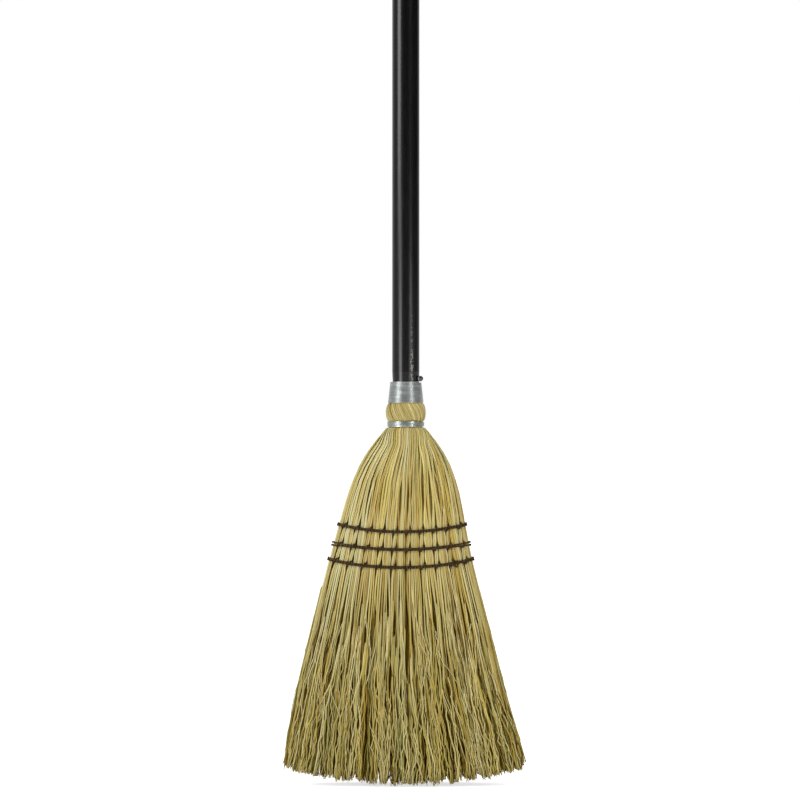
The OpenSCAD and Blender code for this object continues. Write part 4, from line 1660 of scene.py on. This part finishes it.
@dataclass
class InnerStraw:
    """A bundle of inner straw between two shares of the half width, seen at the sides and tips."""

    head: HeadShape
    name: str
    node: str
    low_u: float
    high_u: float
    seed: int
    fibres: int
    packed: int = 11
    edge_stalks: int = 0
    fibre_habit: InnerFibreHabit = InnerFibreHabit()
    edge_habit: EdgeStalkHabit = EdgeStalkHabit()
    packing: PackingHabit = PackingHabit()
    least_lens: float = 0.02
    least_out: float = 1e-3

    def __post_init__(self) -> None:
        """Starts the mesh and the source of chance."""
        self.rng = np.random.default_rng(self.seed)
        self.mesh = StrandMesh()

    def lay(self, u: Array, v: Array, z: Array) -> tuple[Array, Array]:
        """Points inside the head.

        Args:
            u: Shares of the half width.
            v: Shares of the thickness there, from -1 at the front to 1 at the back.
            z: Heights.

        Returns:
            Points and outward directions.
        """
        bow = self.head.blunt(z)
        lens = np.sqrt(np.clip(1 - (u * bow) ** 2, self.least_lens, 1))
        points = np.stack(
            [self.head.straw_w(z) * u + self.head.sway(z), self.head.straw_t(z) * v * lens, z], axis=-1)
        outward = np.stack(
            np.broadcast_arrays(np.sign(u) * u * u, v * (1 - u * u) + self.least_out, 0 * z), axis=-1)
        return points, outward / np.linalg.norm(outward, axis=-1, keepdims=True)

    def add_fibres(self) -> None:
        """Adds the loose fibres below the seams."""
        head = self.head
        habit = self.fibre_habit
        count = self.fibres
        rings = habit.rings
        u0 = self.rng.uniform(self.low_u, self.high_u, count)
        v0 = self.rng.uniform(-habit.through, habit.through, count)
        tip_x, tip_z = TuftTrim(head, raised=habit.tip_rise).trim(u0 * head.tips_half_w, self.rng)
        t = np.linspace(0, 1, rings)[None, :]
        start_z = self.rng.uniform(*habit.start_z, count)[:, None]
        z = start_z + (tip_z[:, None] - start_z) * t
        kinked = eased(t / habit.kink_to)
        u = u0[:, None] + kinks(self.rng, count, rings, habit.side_kink) / head.half_w(z) * kinked
        in_tuft = eased((t - habit.tuft_from) / (1 - habit.tuft_from))
        u += (tip_x / head.tips_half_w - u0)[:, None] * in_tuft
        v = v0[:, None] + kinks(self.rng, count, rings, habit.depth_kink) / head.half_t(z) * kinked
        points, outward = self.lay(np.clip(u, -1.0, 1.0), v, z)
        half_width = habit.half_w - habit.taper * t
        half_width = half_width * self.rng.uniform(*habit.width_range, count)[:, None]
        tone = np.clip(self.rng.normal(habit.tone, habit.tone_spread, count), 0, 1)
        run = head.fibre_run(z, head.inner_fibre_z)
        # Painted shade: fibres deep inside the head are painted darker than those near its sides and
        # faces.
        deep = 1 - np.abs(u0) * habit.edge_light - np.abs(v0) * habit.face_light
        deep = np.clip(deep, 0, habit.most_shade)
        lot = self.rng.uniform(*habit.gold, count)
        grain = np.stack(np.broadcast_arrays(tone[:, None], run, deep[:, None], lot[:, None]), axis=-1)
        half_depth = half_width * habit.flat_share
        self.mesh.add(points, outward, half_width, half_depth, grain, sides=habit.sides)

    def add_packing(self) -> None:
        """Adds the thick packed stalks in the heart of the head, which close it to light; they are
        painted fully in shade.
        """
        head = self.head
        habit = self.packing
        across = np.linspace(
            max(self.low_u, -habit.reach_share), min(self.high_u, habit.reach_share), self.packed)
        through = np.linspace(-habit.through, habit.through, habit.rows_through)
        u0, v0 = (grid.ravel() for grid in np.meshgrid(across, through))
        t = np.linspace(0, 1, habit.rings)[None, :]
        foot_z = self.rng.uniform(*habit.foot_z, len(u0))[:, None]
        top_z = head.band_z - habit.top_drop
        z = top_z + (foot_z - top_z) * t
        v = v0[:, None] * np.ones_like(z)
        u = u0[:, None] * np.ones_like(z)
        points, outward = self.lay(u, v, z)
        inside = eased(t / habit.end_to) * eased((1 - t) / habit.end_to)
        blunt_ends = habit.end_share + (1 - habit.end_share) * inside
        half_width = habit.half_w_share * head.half_w(z) * (across[1] - across[0]) * blunt_ends
        half_depth = head.half_t(z) * habit.half_t_share * np.sqrt(1 - u * u) * blunt_ends
        run = head.fibre_run(z, head.inner_fibre_z)
        grain = np.stack(np.broadcast_arrays(habit.tone, run, habit.shade, habit.gold), axis=-1)
        self.mesh.add(points, outward, half_width, half_depth, grain, sides=habit.sides)

    def add_edge_stalks(self) -> None:
        """Adds the whole stalks that close the head's side between the covers."""
        head = self.head
        habit = self.edge_habit
        count = self.edge_stalks
        side = math.copysign(1.0, self.low_u + self.high_u)
        t = np.linspace(0, 1, habit.rings)[None, :]
        top_z = head.band_z - habit.top_drop
        foot_z = self.rng.uniform(*habit.foot_z, count)[:, None]
        z = top_z + (foot_z - top_z) * t
        v = np.linspace(-habit.through, habit.through, count)[:, None]
        v = v + self.rng.normal(0, habit.through_spread, (count, 1))
        set_in = self.rng.uniform(0, habit.set_in, count)[:, None]
        u = side * (habit.outside_share - set_in - habit.top_in * (1 - t)) * np.ones_like(z)
        for row in range(head.seam_rows):
            u -= side * habit.row_in * np.exp(-((z - head.seam_height(row, 1.0)) / habit.row_in_h) ** 2)
        points, outward = self.lay(u, v * np.ones_like(z), z)
        at_point = eased((t - habit.point_from) / (1 - habit.point_from))
        half_width = self.rng.uniform(*habit.half_w, count)[:, None] * (1 - habit.point_loss * at_point)
        half_width = half_width * (habit.butt_share + (1 - habit.butt_share) * eased(t / habit.butt_to))
        tone = np.clip(self.rng.normal(habit.tone, habit.tone_spread, count), 0, 1)
        lot = self.rng.uniform(*habit.gold, count)
        run = head.fibre_run(z, head.inner_fibre_z)
        grain = np.stack(np.broadcast_arrays(tone[:, None], run, habit.shade, lot[:, None]), axis=-1)
        self.mesh.add(
            points, outward, half_width, half_width * habit.flat_share, grain, sides=habit.sides,
            edge_shade=habit.edge_shade)

    def build(self, material: Material) -> Object:
        """Builds and dresses the bundle.

        Args:
            material: The straw's finish.

        Returns:
            The piece.
        """
        self.add_fibres()
        self.add_packing()
        if self.edge_stalks:
            self.add_edge_stalks()
        return add_piece(self.mesh.build(self.name), material, [self.node])


@dataclass
class WireBinding:
    """The wound wire: a tight neck winding led to the nail, a band below, and the hidden tie."""

    head: HeadShape
    wire_r: float = 0.44
    pitch: float = 0.9
    sides: int = 8
    rings_per_turn: int = 48
    nail_turn_deg: float = 70.0
    nail_shank_r: float = 0.8
    lead_turn_deg: float = 30.0
    hook_turn_deg: float = 312.0
    hook_slack: float = 0.45
    flat_share: float = 0.45
    band_flat: float = 0.22
    band_start_deg: float = 90.0
    top_rise: float = 0.7
    start_drop: float = 0.1
    lead_points: int = 12
    hook_points: int = 22
    round_h: float = 0.6

    def helix(
        self, low_z: float, high_z: float, flat: float, start_deg: float, end_deg: float | None = None
    ) -> Array:
        """Turns of wire that climb the straw.

        Args:
            low_z: Height of the first turn's middle.
            high_z: Height of the last turn's middle.
            flat: Depth of the flattened wire, as a share of its width.
            start_deg: Angle of the start, unless an angle is given for the end.
            end_deg: Angle of the end, which then sets the start.

        Returns:
            Points.
        """
        turns = (high_z - low_z) / self.pitch
        rings = round(turns * self.rings_per_turn)
        t = np.linspace(0, 1, rings)
        z = low_z + (high_z - low_z) * t
        angle = math.radians(start_deg) + 2 * math.pi * turns * t
        if end_deg is not None:
            angle += math.radians(end_deg) - angle[-1]
        outside = self.head.soft_gap + self.head.wire_d
        r = self.head.neck_r(np.minimum(z, self.head.butt_z)) + outside - flat * self.wire_r
        return np.stack([r * np.cos(angle), r * np.sin(angle), z], axis=-1)

    def neck_path(self) -> Array:
        """The neck winding, its lead under the nail and its hook back over the nail's shank.

        Returns:
            Points.
        """
        nail_lo, nail_hi = box_mm("wire_nail")
        nail_z = float(nail_lo[2] + nail_hi[2]) / 2
        nail_a = math.radians(self.nail_turn_deg - 90)
        low_z = self.head.neck_foot_z + self.wire_r - self.start_drop
        top_z = self.head.butt_z + self.top_rise
        lead_a = math.radians(self.lead_turn_deg)
        climb = self.helix(low_z, top_z, self.flat_share, 0.0, math.degrees(nail_a - lead_a))
        from_r = float(np.hypot(climb[-1, 0], climb[-1, 1]))
        seat_r = float(self.head.handle_r(np.array(nail_z))) + self.head.soft_gap + self.wire_r
        hook_r = self.nail_shank_r + self.wire_r + self.head.soft_gap + self.hook_slack
        t = np.linspace(0, 1, self.lead_points)[1:-1]
        r = from_r + (seat_r - from_r) * t
        a = nail_a - lead_a * (1 - t)
        z = top_z + (nail_z - hook_r - top_z) * eased(t)
        lead = np.stack([r * np.cos(a), r * np.sin(a), z], axis=-1)
        swing = math.radians(self.hook_turn_deg) * np.linspace(0, 1, self.hook_points) - math.pi / 2
        a = nail_a + hook_r * np.cos(swing) / seat_r
        hook = np.stack(
            [seat_r * np.cos(a), seat_r * np.sin(a), nail_z + hook_r * np.sin(swing)], axis=-1)
        return np.concatenate([climb, lead, hook])

    def band_path(self) -> Array:
        """The band's turns.

        Returns:
            Points.
        """
        low_z = self.head.band_z + self.wire_r
        high_z = self.head.band_top_z - self.wire_r
        return self.helix(low_z, high_z, self.band_flat, self.band_start_deg)

    def wind(self, name: str, path: Array, flat: float, material: Material, node: str) -> Object:
        """Builds and dresses one length of wire.

        Args:
            name: Name of the piece.
            path: Points that the wire follows.
            flat: Depth of the flattened wire, as a share of its width.
            material: Its finish.
            node: CAD node that it stands for.

        Returns:
            The piece.
        """
        mesh = StrandMesh(strip_aspect=1.0)
        outward = path * np.array([1.0, 1.0, 0.0])
        outward /= np.linalg.norm(outward, axis=1, keepdims=True)
        loose = eased((path[:, 2] - self.head.butt_z - self.top_rise) / self.round_h)
        half_depth = self.wire_r * (flat + (1 - flat) * loose)
        mesh.add(path[None], outward[None], self.wire_r, half_depth[None], sides=self.sides,
                 rings_per_strip=self.rings_per_turn)
        return add_piece(mesh.build(name), material, [node])

    def build(self, material: Material) -> list[Object]:
        """Builds and dresses the wire.

        Args:
            material: The wire's finish.

        Returns:
            The pieces.
        """
        return [
            self.wind("neck_winding", self.neck_path(), self.flat_share, material, "neck_wire"),
            self.wind("band_winding", self.band_path(), self.band_flat, material, "band_wire"),
            dress_node("tie_wire", material),
        ]


@dataclass
class SewnRow:
    """One sewn row: two runs of twine round the head, held by slanted stitches."""

    head: HeadShape
    sewing: SewingPattern
    row: int
    run_rise: float = 0.62
    edge_rises: tuple[float, ...] = (0.7, 1.2, 0.76)
    ply_r: float = 0.44
    twist_mm: float = 5.0
    step_mm: float = 0.62
    ply_offset: float = 0.82
    ply_sides: int = 5
    ply_strip: int = 60
    least_rings: int = 6
    side_share: float = 0.15
    lift: float = 0.62
    wrap_points: int = 90
    edge_power: int = 8
    edge_share: float = 0.93
    smooth_span: int = 9
    smooth_share: float = 0.35
    stitch_points: int = 13
    stitch_lift: float = 1.35
    stitch_sink: float = 1.6
    stitch_power: float = 3.2
    stitch_ply: float = 1.05
    knot_u: float = 0.0
    knot_points: int = 46
    knot_span: Range = (0.35, 2 * math.pi - 0.1)
    knot_lift: float = 1.7
    knot_rise: float = -0.2
    knot_depth: float = 0.9
    knot_size: tuple[float, float, float] = (0.8, 0.6, 0.95)

    def surface(self, u: Array, face: Face, lift: Array | float, up: Array | float) -> Array:
        """Points over a face along the row.

        Args:
            u: Shares of the half width.
            face: Front or back.
            lift: Heights over the straw.
            up: Heights above the middle of the row.

        Returns:
            Points.
        """
        z = self.head.seam_height(self.row, u) + up
        lens = np.sqrt(1 - (u * self.head.blunt(z)) ** 2)
        return np.stack(
            [(self.head.half_w(z) + lift) * u + self.head.sway(z),
             face.value * (self.head.half_t(z) * lens + lift * np.sqrt(lens)), z], axis=-1)

    def rope(self, mesh: StrandMesh, path: Array, tight: float = 1.0) -> None:
        """Adds twine of two twisted plies along a path.

        Args:
            mesh: Where the plies go.
            path: Points that the twine follows.
            tight: Share of the full ply radius.
        """
        steps = np.linalg.norm(np.diff(path, axis=0), axis=1)
        at = np.concatenate([[0.0], np.cumsum(steps)])
        count = max(self.least_rings, round(at[-1] / self.step_mm))
        even = np.linspace(0, at[-1], count)
        line = np.stack([np.interp(even, at, path[:, axis]) for axis in range(3)], axis=-1)
        tangent = np.gradient(line, axis=0)
        tangent /= np.linalg.norm(tangent, axis=1, keepdims=True)
        out = line * np.array([self.side_share, 1.0, 0.0]) + 1e-6
        across = np.cross(tangent, out)
        across /= np.linalg.norm(across, axis=1, keepdims=True)
        out = np.cross(across, tangent)
        turn = 2 * math.pi * even / self.twist_mm
        ply = self.ply_r * tight
        for start in (0.0, math.pi):
            offset = np.cos(turn + start)[:, None] * across + np.sin(turn + start)[:, None] * out
            twisted = line + offset * ply * self.ply_offset
            mesh.add(twisted[None], offset[None], ply, ply, sides=self.ply_sides,
                     rings_per_strip=self.ply_strip)

    def wrap_path(self, run: int) -> Array:
        """One turn of twine round the head.

        Args:
            run: 0 for the lower run and 1 for the upper.

        Returns:
            Points.
        """
        way = 2 * run - 1
        u = np.sin(np.linspace(-math.pi / 2, math.pi / 2, self.wrap_points))
        rise = way * (self.run_rise + (self.edge_rises[self.row] - self.run_rise) * u**self.edge_power)
        front = self.surface(u, Face.FRONT, self.lift, rise)
        back = self.surface(u[::-1], Face.BACK, self.lift, rise[::-1])
        loop = np.concatenate([front, back])
        span = self.smooth_span
        padded = np.concatenate([loop[-span:], loop, loop[:span]])
        window = np.hanning(2 * span + 1)
        window /= window.sum()
        smooth = np.stack(
            [np.convolve(padded[:, axis], window, mode="valid") for axis in range(3)], axis=-1)
        edge = np.abs(loop[:, :1]) > self.head.half_w(loop[:, 2])[:, None] * self.edge_share
        mixed = np.where(edge, self.smooth_share * smooth + (1 - self.smooth_share) * loop, loop)
        return np.concatenate([mixed, mixed[:1]])

    def stitch_path(self, u: float, face: Face) -> Array:
        """One slanted stitch, from its hole below the row over both runs to its hole above.

        Args:
            u: Middle of the stitch, as a share of the half width.
            face: Front or back.

        Returns:
            Points.
        """
        t = np.linspace(-1, 1, self.stitch_points)
        reach = self.sewing.slant_w / 2 / float(self.head.half_w(np.array(self.head.seam_z[self.row])))
        arch = 1 - np.abs(t) ** self.stitch_power
        lift = (self.stitch_lift + self.stitch_sink) * arch - self.stitch_sink
        return self.surface(u - face.value * t * reach, face, lift, t * self.sewing.slant_h / 2)

    def knot_path(self) -> Array:
        """A small knot with two cut ends, on the front of the row.

        Returns:
            Points.
        """
        t = np.linspace(*self.knot_span, self.knot_points)
        middle = self.surface(np.array(self.knot_u), Face.FRONT, self.knot_lift, self.knot_rise)
        through = -self.knot_depth * np.sin(3 * t)
        shape = np.stack(
            [np.sin(t) + 2 * np.sin(2 * t), through, np.cos(t) - 2 * np.cos(2 * t)], axis=-1)
        return middle + shape * np.array(self.knot_size)

    def build(self, material: Material) -> list[Object]:
        """Builds and dresses the row.

        Args:
            material: The twine's finish.

        Returns:
            The wrap and the stitches.
        """
        wrap = StrandMesh(strip_aspect=1.0)
        for run in (0, 1):
            self.rope(wrap, self.wrap_path(run))
        stitches = StrandMesh(strip_aspect=1.0)
        for face in Face:
            for u in self.sewing.stitch_u():
                self.rope(stitches, self.stitch_path(float(u), face), self.stitch_ply)
        if self.knot_u:
            self.rope(stitches, self.knot_path(), self.stitch_ply)
        number = self.row + 1
        return [
            add_piece(wrap.build(f"twine_row_{number}"), material,
                      [f"seam_{number}_wrap"]),
            add_piece(stitches.build(f"twine_stitches_{number}"), material,
                      [f"seam_{number}_stitches"]),
        ]


@dataclass(frozen=True)
class Softbox:
    """One upright softbox, turned from the front towards the right and facing the broom."""

    name: str
    turn_deg: float
    low_m: float
    high_m: float
    width_m: float
    watts: float

    def add(self, distance_m: float) -> None:
        """Adds the lamp.

        Args:
            distance_m: How far from the broom it stands.
        """
        data = bpy.data.lights.new(self.name, "AREA")
        data.shape = "RECTANGLE"
        data.size = self.width_m
        data.size_y = self.high_m - self.low_m
        data.energy = self.watts
        lamp = bpy.data.objects.new(self.name, data)
        bpy.context.scene.collection.objects.link(lamp)
        turn = math.radians(self.turn_deg)
        lamp.location = (
            distance_m * math.sin(turn), -distance_m * math.cos(turn), (self.low_m + self.high_m) / 2)
        lamp.rotation_euler = (math.pi / 2, 0.0, turn)


@dataclass
class Studio:
    """Camera, floor and soft lights, from the photograph's frame."""

    photo_px: float = 800.0
    mm_per_px: float = 0.813
    ground_row: float = 784.5
    axis_column: float = 405.8
    lens_mm: float = 135.0
    sensor_mm: float = 36.0
    sight_m: float = 200.0
    floor_m: float = 60.0
    ambient: float = 0.22
    overhead: float = 0.98
    backdrop_y: Range = (0.3, 1.0)
    backdrop_glow: Range = (0.03, 0.8)
    left_wall_x: Range = (-0.9, -0.2)
    left_wall_glow: float = 0.3
    ceiling_z: Range = (0.2, 0.8)
    ceiling_glow: float = 0.1
    lamp_distance_m: float = 1.7
    lamps: tuple[Softbox, ...] = (
        Softbox("upper_left_softbox", turn_deg=-58.0, low_m=0.6, high_m=1.5, width_m=0.8, watts=11.0),
        Softbox("lower_left_softbox", turn_deg=-46.0, low_m=0.0, high_m=0.45, width_m=0.7, watts=5.2),
        Softbox("lower_right_softbox", turn_deg=41.0, low_m=0.0, high_m=0.34, width_m=0.38, watts=5.1),
        Softbox("upper_right_softbox", turn_deg=41.0, low_m=1.15, high_m=1.75, width_m=0.4, watts=4.2),
    )

    def add_camera(self) -> None:
        """Adds the level front camera on a long lens."""
        data = bpy.data.cameras.new("photo_camera")
        data.lens = self.lens_mm
        data.sensor_width = self.sensor_mm
        data.clip_end = self.sight_m
        camera = bpy.data.objects.new("photo_camera", data)
        bpy.context.scene.collection.objects.link(camera)
        frame_mm = self.photo_px * self.mm_per_px
        away = frame_mm * self.lens_mm / self.sensor_mm
        height = (self.ground_row - self.photo_px / 2) * self.mm_per_px
        aside = -(self.axis_column - self.photo_px / 2) * self.mm_per_px
        camera.location = (aside * MM, -away * MM, height * MM)
        camera.rotation_euler = (math.pi / 2, 0.0, 0.0)
        bpy.context.scene.camera = camera

    def add_floor(self) -> None:
        """Adds the pale floor, which the camera sees as white and which keeps the shadow."""
        half = self.floor_m / 2
        mesh = bpy.data.meshes.new("studio_floor")
        mesh.from_pydata(
            [(-half, -half, 0.0), (half, -half, 0.0), (half, half, 0.0), (-half, half, 0.0)],
            [], [(0, 1, 2, 3)])
        mesh.materials.append(StudioPaper().make())
        floor = bpy.data.objects.new("studio_floor", mesh)
        bpy.context.scene.collection.objects.link(floor)

    def light_world(self) -> None:
        """Sets a white backdrop for the eye and for reflections, and a soft even fill light."""
        world = bpy.data.worlds.new("white_studio")
        bpy.context.scene.world = world
        world.use_nodes = True
        tree = world.node_tree
        tree.nodes.clear()
        path = add_node(tree, "ShaderNodeLightPath")
        place = add_node(tree, "ShaderNodeTexCoord")
        axes = add_node(tree, "ShaderNodeSeparateXYZ", inputs={0: place.outputs["Generated"]})
        behind = add_node(
            tree, "ShaderNodeMapRange", {"interpolation_type": "SMOOTHSTEP"},
            {"Value": axes.outputs["Y"], "From Min": self.backdrop_y[0], "From Max": self.backdrop_y[1],
             "To Min": self.backdrop_glow[0], "To Max": self.backdrop_glow[1]})
        beside = add_node(
            tree, "ShaderNodeMapRange", {"interpolation_type": "SMOOTHSTEP"},
            {"Value": axes.outputs["X"],
             "From Min": self.left_wall_x[0], "From Max": self.left_wall_x[1],
             "To Min": self.left_wall_glow, "To Max": 0.0})
        above = add_node(
            tree, "ShaderNodeMapRange", {"interpolation_type": "SMOOTHSTEP"},
            {"Value": axes.outputs["Z"], "From Min": self.ceiling_z[0], "From Max": self.ceiling_z[1],
             "To Min": 0.0, "To Max": self.ceiling_glow})
        walls = add_node(tree, "ShaderNodeMath", {"operation": "ADD"}, {0: behind, 1: beside})
        room = add_node(tree, "ShaderNodeMath", {"operation": "ADD"}, {0: walls, 1: above})
        mirrored = add_node(
            tree, "ShaderNodeMath", {"operation": "MAXIMUM"},
            {0: path.outputs["Is Glossy Ray"], 1: path.outputs["Is Transmission Ray"]})
        soft = add_node(
            tree, "ShaderNodeMapRange",
            inputs={"Value": axes.outputs["Z"], "To Min": self.ambient, "To Max": self.overhead})
        fill = add_node(
            tree, "ShaderNodeMix", {"data_type": "FLOAT"}, {"Factor": mirrored, "A": soft, "B": room})
        strength = add_node(
            tree, "ShaderNodeMix", {"data_type": "FLOAT"},
            {"Factor": path.outputs["Is Camera Ray"], "A": fill.outputs["Result"], "B": 1.0})
        background = add_node(
            tree, "ShaderNodeBackground",
            inputs={"Color": srgb_hex("#ffffff"), "Strength": strength.outputs["Result"]})
        output = add_node(tree, "ShaderNodeOutputWorld")
        tree.links.new(background.outputs[0], output.inputs[0])

    def build(self) -> None:
        """Builds the studio."""
        bpy.context.scene.view_settings.view_transform = "Standard"
        self.add_camera()
        self.add_floor()
        self.light_world()
        for lamp in self.lamps:
            lamp.add(self.lamp_distance_m)


@dataclass
class LobbyBroom:
    """The whole broom: handle, nail, wire, straw and sewing."""

    head: HeadShape = field(default_factory=HeadShape)
    front_seed: int = 11
    back_seed: int = 12
    core_seed: int = 21
    shoulder_seed: int = 30
    core_u: float = 0.5
    core_fibres: int = 800
    shoulder_fibres: int = 480
    shoulder_packed: int = 5
    edge_stalks: int = 15
    knot_u: float = 0.74

    def build(self) -> list[Object]:
        """Builds every piece and dresses it.

        Returns:
            The pieces.
        """
        straw = BroomcornStraw().make()
        twine = WaxedTwine().make()
        sewing = SewingPattern(self.head)
        pieces = [
            dress_node("handle", BlackLacquer().make()),
            dress_node("wire_nail", PlainNailSteel().make()),
        ]
        pieces += WireBinding(self.head).build(GalvanisedWire().make())
        pieces += [
            CoverStraw(self.head, sewing, Face.FRONT, self.front_seed).build(straw),
            CoverStraw(self.head, sewing, Face.BACK, self.back_seed).build(straw),
            InnerStraw(
                self.head, "core_bundle", "core_straw", -self.core_u, self.core_u,
                self.core_seed, self.core_fibres).build(straw),
        ]
        for side in Side:
            low_u, high_u = sorted((side.value * self.core_u, side.value * 1.0))
            word = side.name.lower()
            pieces.append(InnerStraw(
                self.head, f"shoulder_bundle_{word}", f"shoulder_straw_{word}", low_u, high_u,
                self.shoulder_seed + side.value, self.shoulder_fibres, self.shoulder_packed,
                self.edge_stalks).build(straw))
        for row in range(self.head.seam_rows):
            last = row == self.head.seam_rows - 1
            pieces += SewnRow(self.head, sewing, row, knot_u=self.knot_u if last else 0.0).build(twine)
        return pieces


def main() -> None:
    """Builds the studio and the broom, and reports each piece's face count."""
    logging.basicConfig(level=logging.INFO, format="%(name)s: %(message)s")
    Studio().build()
    for piece in LobbyBroom().build():
        LOG.info("%s: %d faces", piece.name, len(piece.data.polygons))
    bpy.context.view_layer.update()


if __name__ == "__main__":
    main()
